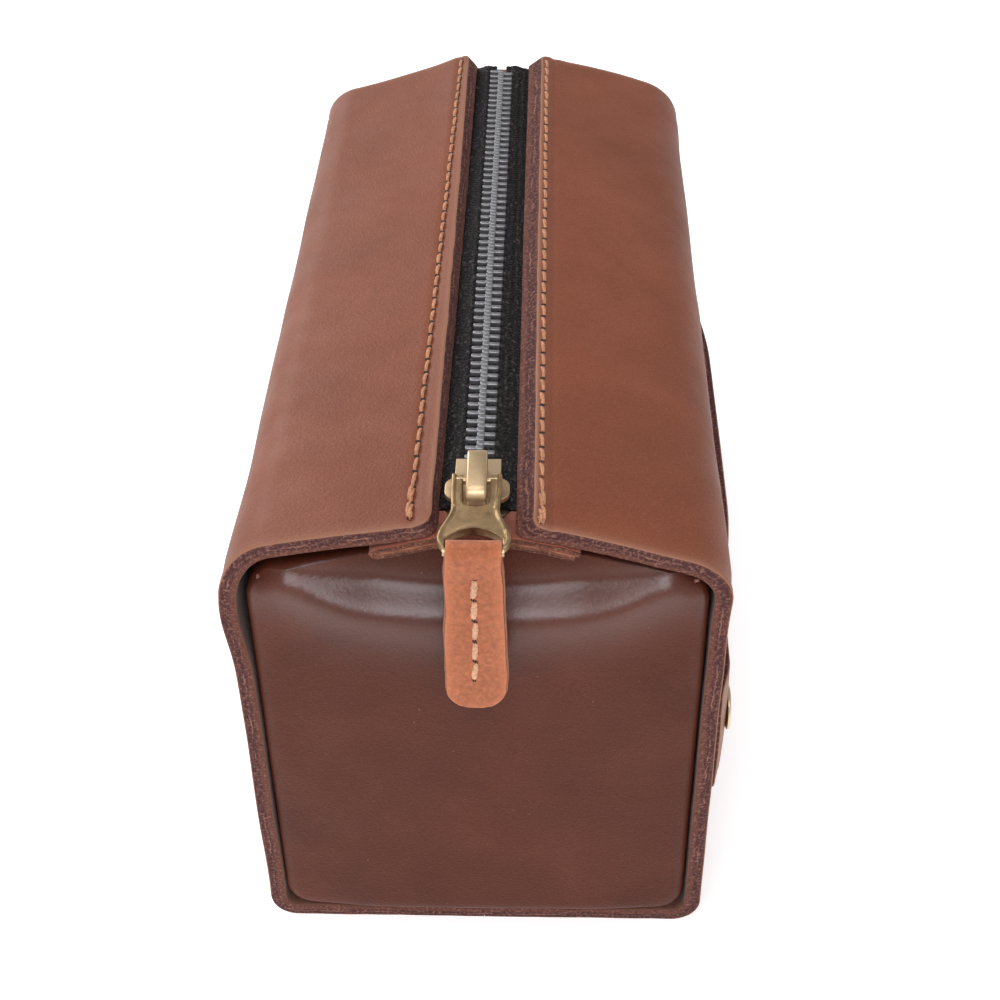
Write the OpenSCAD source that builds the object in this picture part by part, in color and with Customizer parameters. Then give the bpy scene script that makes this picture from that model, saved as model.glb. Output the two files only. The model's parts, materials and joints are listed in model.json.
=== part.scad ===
// Leather shaving kit bag: one thick wrap of leather around two inset end panels,
// closed along the top by a metal zip, with a riveted carrying strap on one side.
// Millimetres. +Z up, front end towards -Y, origin at the centre of the base.

/* [Body] */
// Length from the front edge of the wrap to its rear edge
body_l = 213; // [190:1:240]
// Width over the side walls
body_w = 104; // [96:1:116]
// Height at which the outer faces of wall and top meet
corner_h = 114.2; // [100:0.1:120]
// Height of the two lips beside the zip
lip_h = 125.4; // [110:0.1:132]
// Thickness of the wrap's leather
wrap_t = 3.8; // [3:0.1:4.2]
// Outer radius of the two top corners
top_r = 12; // [9:0.5:14]
// Outer radius of the two bottom corners
base_r = 7; // [5:0.5:12]
// Half the gap between the lips, at their upper edges
lip_x = 9.2; // [9:0.1:10]
// Height of the line about which each side folds outwards
fold_h = 30; // [20:1:34]

/* [End panels] */
// Thickness of the end panels' leather
panel_t = 2.2; // [1.8:0.1:2.6]
// Height of the panels' upper edge, in the middle
panel_h = 116.5; // [100:0.5:116.5]
// How far the middle of a panel bulges past the wrap's edge
panel_bulge = 1.6; // [0:0.1:2]
// Depth of the flange that is sewn inside the wrap
flange_d = 14; // [12:1:14]

/* [Zip] */
// Tooth pitch on one side
tooth_pitch = 3.1; // [3:0.1:3.6]
// Width of the closed chain of teeth
chain_w = 6.4; // [6:0.1:6.6]
// Thickness of the teeth
tooth_t = 2.8; // [2.4:0.1:2.8]
// Thickness of the woven tape
tape_t = 0.8; // [0.6:0.1:0.9]
// Distance from the front edge to the pull's pivot, with the zip closed
pivot_in = 11.5; // [11.5:0.1:16]
// How far the front tab reaches in from the edge, on both sides of the slider
tab_in = 8.8; // [6:0.1:8.8]

/* [Pull] */
// Width of the flared end of the metal pull
ring_w = 14; // [13.6:0.1:14.8]
// Distance from the pull's pivot to the bar that carries the strap
pull_l = 20.8; // [20:0.2:24]
// Length of the leather strap below the bar
strap_l = 42; // [32:1:55]
// Width of the leather strap
strap_w = 13; // [12:0.1:14]

/* [Handle] */
// Width of the carrying strap
handle_w = 31; // [20:1:32]
// Thickness of the carrying strap
handle_t = 3.6; // [2.4:0.1:3.8]
// Height of the middle of the carrying strap
handle_z = 54.5; // [50:0.5:64]
// Gap between the middle of the carrying strap and the wall
handle_gap = 3.2; // [2:0.1:8]
// Radius of the rivet caps
rivet_r = 5.4; // [4:0.1:6]

/* [Hidden] */
$fn = 48;

front_y = -body_l / 2;
half_w = body_w / 2;
gap = 0.3;            // clearance between pieces of different moving bodies
touch = 0.05;         // clearance between pieces that lie against each other
arc_n = 6;            // straight pieces in each rounded corner

// The top panels rise from the corners to the lips.
roof_rise = (lip_h - corner_h) / (half_w - lip_x);
roof_deg = atan(roof_rise);
top_arc_z = corner_h + top_r * roof_rise - top_r / cos(roof_deg);

// Lower edge of a lip, which is cut square to the leather.
lip_low = [lip_x - wrap_t * sin(roof_deg), lip_h - wrap_t * cos(roof_deg)];

// The tape hangs under the lips and rises a little towards the chain.
tape_rise = 1;
tape_z = lip_low[1] - touch - tape_t / 2 + tape_rise;
tape_in = 1.3;
tape_crest = 4.9;
tape_out = 21;
tape_front = tab_in + 0.2;                  // tape's ends, from the wrap's edges
tape_rear = 0.5;
tab_t = 3.8;
rear_tab_t = 3;
rear_tab_in = 7.8;
notch_x = 7;                                // half width of the front tab's notch
notch_in = 4.6;                             // where the notch begins, from the edge

pivot_y = front_y + pivot_in;
plate_t = 1.2;
plate_z = tape_z + tooth_t / 2 + 0.2;       // underside of the slider's top plate
crown_z = plate_z + plate_t;                // foot of the crown
crown_h = 6.3;                              // at its rear end
crown_fall = 1.9;                           // top's drop towards the front
crown_w = 4.1;
crown_front = 6.5;                          // crown ahead of the pivot
crown_rear = 6.3;                           // crown behind the pivot
nose = 6.6;                                 // slider ahead of the pivot
tail = 9.8;                                 // slider behind the pivot
bar_r = 0.85;
pull_t = 1.4;
pull_tilt = 3;
pivot_z = crown_z + 2;
bar_y = pivot_y - pull_l * cos(pull_tilt);
bar_z = pivot_z - pull_l * sin(pull_tilt);
strap_t = 3;
eye_w = 11.4;                               // clear width of the pull's opening

panel_half = half_w - wrap_t - gap;
seam_in = 4.2;                              // end seams, from the wrap's edges
seam_pitch = 5;
stitch_r = 0.45;

handle_in = 6;                              // strap ends, from the wrap's edges
rivet_in = 19.5;                            // rivets, from the wrap's edges
post_r = 1.6;

// ---- outlines ------------------------------------------------------------

function arc(cx, cz, r, a0, a1) =
    [for (i = [0 : arc_n]) let (a = a0 + (a1 - a0) * i / arc_n) [cx + r * cos(a), cz + r * sin(a)]];
function back(points) = [for (i = [len(points) - 1 : -1 : 0]) points[i]];
function flip(points) = [for (p = back(points)) [-p[0], p[1]]];
function ease(t) = (1 - cos(180 * max(0, min(1, t)))) / 2;

// Right half of the wrap's section above the fold line, d inside its outer face.
function upper_path(d) = concat(
    [[half_w - d, fold_h + gap]],
    arc(half_w - top_r, top_arc_z, top_r - d, 0, 90 - roof_deg),
    [[lip_x - d * sin(roof_deg), lip_h - d * cos(roof_deg)]]);

// The wrap's section below the fold line, from one side to the other.
function lower_half(d) = concat(arc(half_w - base_r, base_r, base_r - d, -90, 0), [[half_w - d, fold_h]]);
function lower_path(d) = concat(flip(lower_half(d)), lower_half(d));

// Outline of an end panel, d inside its outer face.
panel_deg = 7;
panel_r = 8;
panel_foot_r = 7.2;
panel_arc_z = panel_h - (panel_half - panel_r) * tan(panel_deg) - panel_r / cos(panel_deg);
function panel_side(d) =
    concat(
        arc(panel_half - panel_foot_r, wrap_t + touch + panel_foot_r, panel_foot_r - d, -90, 0),
        arc(panel_half - panel_r, panel_arc_z, panel_r - d, 0, 90 - panel_deg),
        [[0, panel_h - d / cos(panel_deg)]]);
function panel_outline(d) = concat(panel_side(d), [for (p = flip(panel_side(d))) if (p[0] < 0) p]);

// Underside of the top panels at distance x from the middle, flat between the lips.
function under_roof(x) = lip_low[1] - max(0, x - lip_low[0]) * roof_rise;

// ---- helpers -------------------------------------------------------------

// Extrudes an XZ outline from y0 to y1.
module along_y(y0, y1) {
    translate([0, y1, 0]) rotate([90, 0, 0]) linear_extrude(y1 - y0) children();
}

// A straight stitch of length l along Z, centred on the origin.
module stitch(l) {
    cylinder(h = l, r = stitch_r, center = true, $fn = 16);
}

module at_both_ends() {
    children();
    mirror([0, 1, 0]) children();
}

module at_both_sides() {
    children();
    mirror([1, 0, 0]) children();
}

// ---- leather shell -------------------------------------------------------

module wrap_base() {
    color("#7a4a3c") difference() {
        along_y(front_y, -front_y) polygon(concat(lower_path(0), back(lower_path(wrap_t))));
        // Grooves that keep the bottom stitches above the surface the bag stands on.
        at_both_ends() translate([0, front_y + seam_in, 0]) cube([84, 1.6, 2], center = true);
    }
}

module upper_half() {
    along_y(front_y, -front_y) polygon(concat(upper_path(0), back(upper_path(wrap_t))));
}

module wrap_left() {
    color("#95694f") mirror([1, 0, 0]) upper_half();
}

module wrap_right() {
    color("#84513e") difference() {
        upper_half();
        at_rivets() translate([0, 0, -8]) cylinder(h = 16, r = post_r + touch);
    }
}

// A tray whose open side faces the inside of the bag, with a bulging face.
module end_panel() {
    // Each step's distance behind the wrap's edge, and its inset from the outline.
    steps = [[-panel_bulge, 4.6], [-panel_bulge / 3, 2.7], [0.8, 1.3], [2.5, 0.4], [4.4, 0]];
    last = len(steps) - 1;
    difference() {
        for (i = [0 : last])
            along_y(front_y + steps[i][0], front_y + (i < last ? steps[i + 1][0] : flange_d))
                polygon(panel_outline(steps[i][1]));
        for (i = [0 : last])
            along_y(front_y + steps[i][0] + panel_t,
                    front_y + panel_t + (i < last ? steps[i + 1][0] : flange_d))
                polygon(panel_outline(steps[i][1] + panel_t));
    }
}

module front_end_panel() {
    color("#643b33") end_panel();
}

module rear_end_panel() {
    color("#643b33") mirror([0, 1, 0]) end_panel();
}

// ---- zip -----------------------------------------------------------------

// Leather under both lips, with its upper face drop below them, from y0 to y1.
module zip_tab(y0, y1, drop, thickness) {
    side = [for (x = [lip_low[0], tape_out]) [x, under_roof(x) - drop]];
    top = concat(flip(side), side);
    along_y(y0, y1) polygon(concat(top, [for (p = back(top)) [p[0], p[1] - thickness]]));
}

// The front tab meets the end of the tape, and is notched round the slider's nose.
module front_zip_tab() {
    color("#b07257") difference() {
        zip_tab(front_y - 0.5, front_y + tab_in, gap, tab_t);
        translate([-notch_x, front_y + notch_in, lip_low[1] - 10]) cube([2 * notch_x, tab_in, 20]);
    }
}

// The rear tab lies under the tape, and its front edge stops the slider.
module rear_zip_tab() {
    drop = touch + tape_t + gap;
    color("#b07257") zip_tab(-front_y - rear_tab_in, -front_y + 0.5, drop, rear_tab_t);
}

module zip_tape() {
    crest = tape_z + tape_t / 2;
    top = [[tape_in, crest], [tape_crest, crest],
        [lip_low[0], lip_low[1] - touch], [tape_out, under_roof(tape_out) - touch]];
    along_y(front_y + tape_front, -front_y - tape_rear)
        polygon(concat(top, [for (p = back(top)) [p[0], p[1] - tape_t]]));
}

module zip_tape_left() {
    color("#2b2624") mirror([1, 0, 0]) zip_tape();
}

module zip_tape_right() {
    color("#2b2624") zip_tape();
}

// One tooth: a head that fits between two opposite heads, and two legs that grip the tape.
module tooth() {
    leg_w = 1.35;
    head_w = tooth_pitch / 2 - 0.15;
    head_l = 1.5;
    reach = chain_w / 2 - head_l / 2;
    difference() {
        translate([0, 0, -tooth_t / 2]) linear_extrude(tooth_t) {
            translate([-head_l / 2, -head_w / 2]) square([head_l, head_w]);
            translate([head_l / 2 - 0.01, -leg_w / 2]) square([reach + 0.01, leg_w]);
        }
        translate([tape_in - touch, -leg_w, -tape_t / 2 - touch])
            cube([chain_w, 2 * leg_w, tape_t + 2 * touch]);
    }
}

module teeth_row(shift) {
    first_y = pivot_y + 0.1 + shift;
    count = floor((-front_y - tape_rear - 1 - first_y) / tooth_pitch);
    for (i = [0 : count - 1]) translate([0, first_y + i * tooth_pitch, tape_z]) tooth();
}

module zip_teeth_left() {
    color("#9a9a98") mirror([1, 0, 0]) teeth_row(0);
}

module zip_teeth_right() {
    color("#9a9a98") teeth_row(tooth_pitch / 2);
}

// ---- slider and pull -----------------------------------------------------

// Outline of the slider's plates, with two rounded shoulders near the nose.
module slider_plate() {
    translate([-4.7, -nose + 1.5]) square([9.4, nose + tail - 1.5]);
    translate([-3.2, -nose]) square([6.4, 4]);
    for (side = [-1, 1]) {
        translate([side * 3.2, -nose + 1.5]) circle(r = 1.5);
        translate([side * 3.9, 0]) hull() for (y = [-0.9, 0.9]) translate([0, y]) circle(r = 2.7);
    }
}

module slider_body() {
    low = tape_z - tooth_t / 2 - 0.2;
    slit = tape_t / 2 + 0.25;
    rail_x = chain_w / 2 + 0.25;
    rail_w = 4.7 - rail_x;
    color("#b19176") translate([0, pivot_y, 0]) {
        translate([0, 0, plate_z]) linear_extrude(plate_t) slider_plate();
        translate([0, 0, low - plate_t]) linear_extrude(plate_t) slider_plate();
        at_both_sides() {
            translate([rail_x, 0, tape_z + slit]) cube([rail_w, tail, plate_z - tape_z - slit + 0.1]);
            translate([rail_x, 0, low - 0.1]) cube([rail_w, tail, tape_z - slit - low + 0.1]);
        }
        // The wedge that parts the two rows of teeth.
        translate([0, 0, low - 0.1]) linear_extrude(plate_z - low + 0.2)
            polygon([[0, -nose + 0.6], [1.1, -nose + 2.4], [0, -1.4], [-1.1, -nose + 2.4]]);
    }
}

// Side outline of the crown, an arch that is open to both sides, d inside its outer face.
function crown_path(d) = let (r = 2.6) concat(
    [[-crown_front + d, crown_z - (d > 0 ? 1 : 0)]],
    arc(-crown_front + r, crown_z + crown_h - crown_fall - r, r - d, 180, 100),
    arc(crown_rear - r, crown_z + crown_h - r, r - d, 90, 0),
    [[crown_rear - d, crown_z - (d > 0 ? 1 : 0)]]);

module slider_crown() {
    color("#b19176") translate([-crown_w / 2, pivot_y, 0]) rotate([90, 0, 90])
        linear_extrude(crown_w) difference() {
            polygon(crown_path(0));
            polygon(crown_path(1.3));
        }
}

// Leaf spring under the crown, which the pull's bar lifts to free the slider.
module lock_spring() {
    color("#9a9a98") translate([-1, pivot_y + 1.4, crown_z + touch]) {
        cube([2, 3.4, 0.35]);
        cube([2, 0.35, 1.4]);
    }
}

// Half the pull's width at distance s from its pivot.
function pull_half(s) =
    5.15 - 0.25 * ease((s - 3) / 6) + (ring_w / 2 - 4.9) * ease((s - 9) / 8.5) - 1.3 * ease((s - 18) / 4);

module pull_outline() {
    right = [for (s = [-bar_r : 1 : pull_l + bar_r]) [pull_half(s), -s]];
    opening = [for (i = [-6 : 6]) [i * eye_w / 12, -(pull_l - 5.4 + 2.4 * pow(i / 6, 2))]];
    slot_r = 1.6;
    slot_x = 2.8;
    slot_end = 8.5;
    difference() {
        polygon(concat(right, flip(right)));
        translate([-slot_x, -slot_end + slot_r]) square([2 * slot_x, slot_end - slot_r - bar_r + 0.05]);
        translate([-slot_x + slot_r, -slot_end]) square([2 * (slot_x - slot_r), 4]);
        for (side = [-1, 1]) translate([side * (slot_x - slot_r), -slot_end + slot_r]) circle(r = slot_r);
        polygon(concat(opening, [[eye_w / 2, -pull_l - 3], [-eye_w / 2, -pull_l - 3]]));
    }
}

module pull_tab() {
    color("#b19176") translate([0, pivot_y, pivot_z]) rotate([pull_tilt, 0, 0]) {
        translate([0, 0, -pull_t / 2]) linear_extrude(pull_t) pull_outline();
        rotate([0, 90, 0]) cylinder(h = 10, r = bar_r, center = true);
        translate([0, -pull_l, 0]) rotate([0, 90, 0]) cylinder(h = eye_w + 1, r = bar_r, center = true);
    }
}

// Strap folded round the pull's bar and hanging in front of the bag.
module pull_strap() {
    neck_w = eye_w - 0.4;
    end_r = 4.5;
    color("#b07257") translate([0, bar_y, bar_z]) difference() {
        union() {
            rotate([0, 90, 0]) cylinder(h = neck_w, r = bar_r + 1.1, center = true);
            translate([0, strap_t / 2, 0]) rotate([90, 0, 0]) linear_extrude(strap_t) {
                translate([-neck_w / 2, -8]) square([neck_w, 8]);
                translate([-strap_w / 2, -strap_l + end_r]) square([strap_w, strap_l - end_r - 4]);
                translate([-strap_w / 2 + end_r, -strap_l]) square([strap_w - 2 * end_r, 8]);
                for (side = [-1, 1])
                    translate([side * (strap_w / 2 - end_r), -strap_l + end_r]) circle(r = end_r);
            }
        }
        rotate([0, 90, 0]) cylinder(h = strap_w + 2, r = bar_r + touch, center = true);
    }
}

module pull_strap_stitches() {
    pitch = 5.6;
    first = 8.2;
    color("#d7966e") for (i = [0 : 4])
        translate([0, bar_y - strap_t / 2 - stitch_r - touch, bar_z - first - pitch * i])
            stitch(pitch - 1);
}

// ---- stitching -----------------------------------------------------------

module zip_stitches() {
    x = lip_x + 3.7;
    z = lip_h - (x - lip_x) * roof_rise + (stitch_r + touch) / cos(roof_deg);
    start = 3;
    count = round((body_l - 2 * start) / seam_pitch);
    for (i = [0 : count - 1])
        translate([x, front_y + start + (i + 0.5) * (body_l - 2 * start) / count, z])
            rotate([90, 0, 0]) stitch(seam_pitch - 1);
}

module zip_stitches_left() {
    color("#d7966e") mirror([1, 0, 0]) zip_stitches();
}

module zip_stitches_right() {
    color("#d7966e") zip_stitches();
}

// Stitches of both end seams on the right wall, from height z0 to z1.
module wall_stitches(z0, z1) {
    count = floor((z1 - z0) / seam_pitch);
    at_both_ends() for (i = [0 : count - 1])
        translate([half_w + stitch_r + touch, front_y + seam_in, z0 + (i + 0.5) * seam_pitch])
            stitch(seam_pitch - 1);
}

module seam_stitches_base() {
    color("#d7966e") {
        at_both_sides() wall_stitches(base_r + 1, fold_h);
        at_both_ends() for (i = [-8 : 7])
            translate([(i + 0.5) * seam_pitch, front_y + seam_in, stitch_r + touch])
                rotate([0, 90, 0]) stitch(seam_pitch - 1);
    }
}

module seam_stitches_left() {
    color("#d7966e") mirror([1, 0, 0]) wall_stitches(fold_h + 2, corner_h - top_r);
}

module seam_stitches_right() {
    color("#d7966e") wall_stitches(fold_h + 2, corner_h - top_r);
}

// Knots that tack down the folded top corners of the end panels.
module corner_tacks() {
    color("#d7966e") at_both_ends() for (side = [-1, 1])
        translate([side * (panel_half - panel_r + 4.6), front_y - 0.2, panel_arc_z + 4.6])
            sphere(r = 0.6, $fn = 24);
}

// ---- handle --------------------------------------------------------------

module at_rivets() {
    for (end = [-1, 1])
        translate([half_w, end * (-front_y - rivet_in), handle_z]) rotate([0, 90, 0]) children();
}

// Gap between strap and wall at distance y from the middle of the bag.
function strap_gap(y) = touch + handle_gap * ease((-front_y - rivet_in - 10 - abs(y)) / 45);

// The strap's leather is pared thin towards both ends.
function strap_depth(y) = 1.3 + (handle_t - 1.3) * ease((-front_y - handle_in - abs(y)) / 13);

module handle_strap() {
    reach = -front_y - handle_in;
    stations = [for (i = [-24 : 24]) i * reach / 24];
    inner = [for (y = stations) [half_w + strap_gap(y), y]];
    outer = [for (y = back(stations)) [half_w + strap_gap(y) + strap_depth(y), y]];
    color("#95694f") difference() {
        translate([0, 0, handle_z - handle_w / 2]) linear_extrude(handle_w)
            polygon(concat(inner, outer));
        at_rivets() translate([0, 0, -1]) cylinder(h = 8, r = post_r + touch);
    }
}

module handle_rivet_caps() {
    color("#c9ad8a") at_rivets() translate([0, 0, handle_t + 2 * touch]) {
        cylinder(h = 0.7, r = rivet_r);
        translate([0, 0, 0.7]) cylinder(h = 0.5, r1 = rivet_r, r2 = rivet_r - 1.2);
    }
}

module handle_rivet_posts() {
    color("#c9ad8a") at_rivets()
        translate([0, 0, -wrap_t - touch]) cylinder(h = wrap_t + handle_t + 3 * touch, r = post_r);
}

module handle_rivet_washers() {
    color("#c9ad8a") at_rivets() translate([0, 0, -wrap_t - 1 - touch]) cylinder(h = 1, r = 4.5);
}

wrap_base();
wrap_left();
wrap_right();
front_end_panel();
rear_end_panel();
front_zip_tab();
rear_zip_tab();
zip_tape_left();
zip_tape_right();
zip_teeth_left();
zip_teeth_right();
slider_body();
slider_crown();
lock_spring();
pull_tab();
pull_strap();
pull_strap_stitches();
zip_stitches_left();
zip_stitches_right();
seam_stitches_base();
seam_stitches_left();
seam_stitches_right();
corner_tacks();
handle_strap();
handle_rivet_caps();
handle_rivet_posts();
handle_rivet_washers();
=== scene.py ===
"""Looks of the leather shaving kit bag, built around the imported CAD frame."""
import json
import math
import random

import bmesh
import bpy
import numpy as np
from mathutils import Matrix, Vector, noise


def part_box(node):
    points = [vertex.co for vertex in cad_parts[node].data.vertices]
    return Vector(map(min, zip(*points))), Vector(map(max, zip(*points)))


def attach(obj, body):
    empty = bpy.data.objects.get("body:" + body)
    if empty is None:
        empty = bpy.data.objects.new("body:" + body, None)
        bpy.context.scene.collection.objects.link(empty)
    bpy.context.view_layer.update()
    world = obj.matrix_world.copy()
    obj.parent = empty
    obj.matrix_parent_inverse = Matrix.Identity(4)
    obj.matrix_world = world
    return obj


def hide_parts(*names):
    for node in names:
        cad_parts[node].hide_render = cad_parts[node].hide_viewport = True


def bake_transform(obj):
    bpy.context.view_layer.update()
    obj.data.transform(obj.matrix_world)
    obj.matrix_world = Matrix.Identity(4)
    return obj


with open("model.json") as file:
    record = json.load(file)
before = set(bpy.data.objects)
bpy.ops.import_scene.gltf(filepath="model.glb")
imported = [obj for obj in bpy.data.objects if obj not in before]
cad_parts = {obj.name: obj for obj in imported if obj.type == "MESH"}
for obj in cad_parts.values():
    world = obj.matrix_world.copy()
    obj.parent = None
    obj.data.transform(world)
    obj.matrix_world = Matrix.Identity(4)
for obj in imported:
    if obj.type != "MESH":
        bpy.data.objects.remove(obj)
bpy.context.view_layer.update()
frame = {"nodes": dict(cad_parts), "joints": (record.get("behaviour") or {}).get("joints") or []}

MM = 0.001
random.seed(7)

# ---- measures taken from the frame ----

_, base_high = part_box("wrap_base")
_, left_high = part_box("wrap_left")
HALF_L = base_high.y                  # front edge is at -HALF_L
HALF_W = base_high.x
FOLD_Z = base_high.z                  # line about which each side opens
LIP_Z = left_high.z                   # upper edge of the lips
LIP_LOW_X = -left_high.x              # lower edge of a lip

WRAP_T = 3.8 * MM
TOP_R = 12 * MM
BASE_R = 7 * MM
CORNER_Z = 114.2 * MM                 # where wall and top would meet without the rounding
LIP_X = 9.2 * MM
ROOF = math.atan2(LIP_Z - CORNER_Z, HALF_W - LIP_X)
TOP_ARC_Z = CORNER_Z + TOP_R * math.tan(ROOF) - TOP_R / math.cos(ROOF)
LIP_LOW_Z = LIP_Z - WRAP_T * math.cos(ROOF)

strap_low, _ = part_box("pull_strap")
tape_low, tape_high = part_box("zip_tape_right")
teeth_low, teeth_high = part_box("zip_teeth_right")
handle_low, handle_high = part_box("handle_strap")
cap_low, cap_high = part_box("handle_rivet_caps")
TAPE_Z = (teeth_low.z + teeth_high.z) / 2
JOINT_POS = {j["name"]: Vector(j.get("pos_m", (0, 0, 0))) for j in frame["joints"]}
PIVOT = JOINT_POS["metal_pull_swing"]
BAR = JOINT_POS["leather_pull_swing"]
SIDES = (("left", -1), ("right", 1))

# ---- camera, floor and light ----

CAMERA_AT = (13.6 * MM, -364.7 * MM, 343.1 * MM)
CAMERA_TILT = 39.32                   # degrees below the horizon
CAMERA_TURN = 1.91                    # degrees to the left of +Y
CAMERA_ROLL = -0.69
CAMERA_LENS = 61.66

FLOOR_REACH = 40
FLOOR_GLOW = 0.55                     # lifts the floor to white in the middle of the view
LIGHTS_AIM = (0, 0, 0.06)
COOL = (0.93, 0.95, 1.0)
COOL_FRONT = (0.93, 0.94, 1.0)
WORLD_LOW, WORLD_HIGH = 0.9, 0.24     # brightness near the horizon and overhead


def place(name, data):
    """A new object in the scene."""
    obj = bpy.data.objects.new(name, data)
    bpy.context.scene.collection.objects.link(obj)
    return obj


def make_camera():
    camera = place("camera", bpy.data.cameras.new("camera"))
    camera.data.lens = CAMERA_LENS
    camera.data.sensor_width = 36
    camera.data.clip_start = 0.01
    turn = Matrix.Rotation(math.radians(CAMERA_TURN), 4, "Z")
    tilt = Matrix.Rotation(math.radians(90 - CAMERA_TILT), 4, "X")
    roll = Matrix.Rotation(math.radians(CAMERA_ROLL), 4, "Z")
    camera.matrix_world = Matrix.Translation(CAMERA_AT) @ turn @ tilt @ roll
    bpy.context.scene.camera = camera


def area_light(name, at, size, power, colour=(1, 1, 1)):
    data = bpy.data.lights.new(name, "AREA")
    data.shape = "RECTANGLE"
    data.size, data.size_y = size
    data.energy = power
    data.color = colour
    light = place(name, data)
    light.location = at
    light.rotation_euler = (Vector(LIGHTS_AIM) - Vector(at)).to_track_quat("-Z", "Y").to_euler()


def make_studio():
    pale = Nodes("pale_floor")
    pale.set(Base_Color=(0.86, 0.86, 0.86, 1), Roughness=0.9, Specular_IOR_Level=0.1,
             Emission_Color=(1, 1, 1, 1), Emission_Strength=FLOOR_GLOW)
    corners = [(x * FLOOR_REACH, y * FLOOR_REACH, 0) for x, y in ((-1, -1), (1, -1), (1, 1), (-1, 1))]
    floor = make_object("floor", corners, [(0, 1, 2, 3)], [pale.material])
    area_light("key_light", (-0.65, 0.70, 0.62), (0.5, 0.5), 5.6)
    area_light("top_light", (-0.1, -0.02, 1.1), (0.4, 0.4), 2.8, COOL)
    area_light("front_light", (0.0, -0.66, 0.82), (0.6, 0.36), 4.3, COOL_FRONT)
    world = bpy.data.worlds.new("studio")
    world.use_nodes = True
    # White near the horizon, so that the floor runs into it, and dimmer overhead.
    nodes, links = world.node_tree.nodes, world.node_tree.links
    way = nodes.new("ShaderNodeTexCoord").outputs["Generated"]
    split = nodes.new("ShaderNodeSeparateXYZ")
    links.new(way, split.inputs["Vector"])
    fade = nodes.new("ShaderNodeMapRange")
    ends = {"From Min": 0.1, "From Max": 0.5, "To Min": WORLD_LOW, "To Max": WORLD_HIGH}
    for key, value in ends.items():
        fade.inputs[key].default_value = value
    links.new(split.outputs["Z"], fade.inputs["Value"])
    links.new(fade.outputs["Result"], nodes["Background"].inputs["Strength"])
    nodes["Background"].inputs["Color"].default_value = (1, 1, 1, 1)
    bpy.context.scene.world = world
    bpy.context.scene.view_settings.view_transform = "Standard"


# ---- materials ----


class Nodes:
    """Shorthands for building one node material."""

    def __init__(self, name):
        self.material = bpy.data.materials.new(name)
        self.material.use_nodes = True
        self.tree = self.material.node_tree
        self.shader = self.tree.nodes["Principled BSDF"]
        self.coords = self.tree.nodes.new("ShaderNodeTexCoord").outputs["Object"]

    def add(self, kind, inputs=None, **settings):
        node = self.tree.nodes.new(kind)
        for key, value in settings.items():
            setattr(node, key, value)
        for key, value in (inputs or {}).items():
            if isinstance(value, bpy.types.NodeSocket):
                self.tree.links.new(value, node.inputs[key])
            else:
                node.inputs[key].default_value = value
        return node

    def stretched(self, scale):
        return self.add("ShaderNodeMapping", {"Vector": self.coords, "Scale": scale}).outputs[0]

    def noise(self, scale, detail=4, rough=0.5, coords=None, distortion=0):
        inputs = {"Vector": coords or self.coords, "Scale": scale, "Detail": detail,
                  "Roughness": rough, "Distortion": distortion}
        return self.add("ShaderNodeTexNoise", inputs).outputs["Fac"]

    def cells(self, scale):
        return self.add("ShaderNodeTexVoronoi", {"Vector": self.coords, "Scale": scale}).outputs["Distance"]

    def ramp(self, value, stops):
        node = self.add("ShaderNodeValToRGB", {"Fac": value})
        ramp = node.color_ramp
        while len(ramp.elements) < len(stops):
            ramp.elements.new(1)
        for element, (position, colour) in zip(ramp.elements, stops):
            element.position = position
            element.color = rgba(colour)
        return node.outputs["Color"]

    def shades(self, value, colour, *stops):
        """Darker and lighter shades of a colour. Stops are (position, factor)."""
        return self.ramp(value, [(at, scaled(colour, factor)) for at, factor in stops])

    def greys(self, value, *stops):
        """A ramp from number to number. Stops are (position, number)."""
        return self.ramp(value, [(at, (number, number, number)) for at, number in stops])

    def tint(self, base, value, colour, *stops):
        """The base with colour over it, as much as greys() says."""
        return self.mix(self.greys(value, *stops), base, rgba(colour))

    def mix(self, factor, a, b, blend="MIX"):
        return self.add("ShaderNodeMix", {0: factor, 6: a, 7: b}, data_type="RGBA",
                        blend_type=blend).outputs[2]

    def math(self, operation, a, b):
        return self.add("ShaderNodeMath", {0: a, 1: b}, operation=operation).outputs[0]

    def attribute(self, name):
        return self.add("ShaderNodeAttribute", attribute_name=name).outputs["Fac"]

    def bump(self, height, strength, distance, before=None):
        inputs = {"Height": height, "Strength": strength, "Distance": distance}
        if before:
            inputs["Normal"] = before
        return self.add("ShaderNodeBump", inputs).outputs["Normal"]

    def link(self, **sockets):
        names = {"colour": "Base Color", "roughness": "Roughness", "normal": "Normal"}
        for key, value in sockets.items():
            self.tree.links.new(value, self.shader.inputs[names[key]])

    def set(self, **values):
        for key, value in values.items():
            self.shader.inputs[key.replace("_", " ")].default_value = value


def rgba(colour):
    return (*colour[:3], 1)


def scaled(colour, factor):
    return tuple(min(1, c * factor) for c in colour[:3])


WORN = (0.42, 0.22, 0.14)
SPECKLE = 0.3


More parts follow.
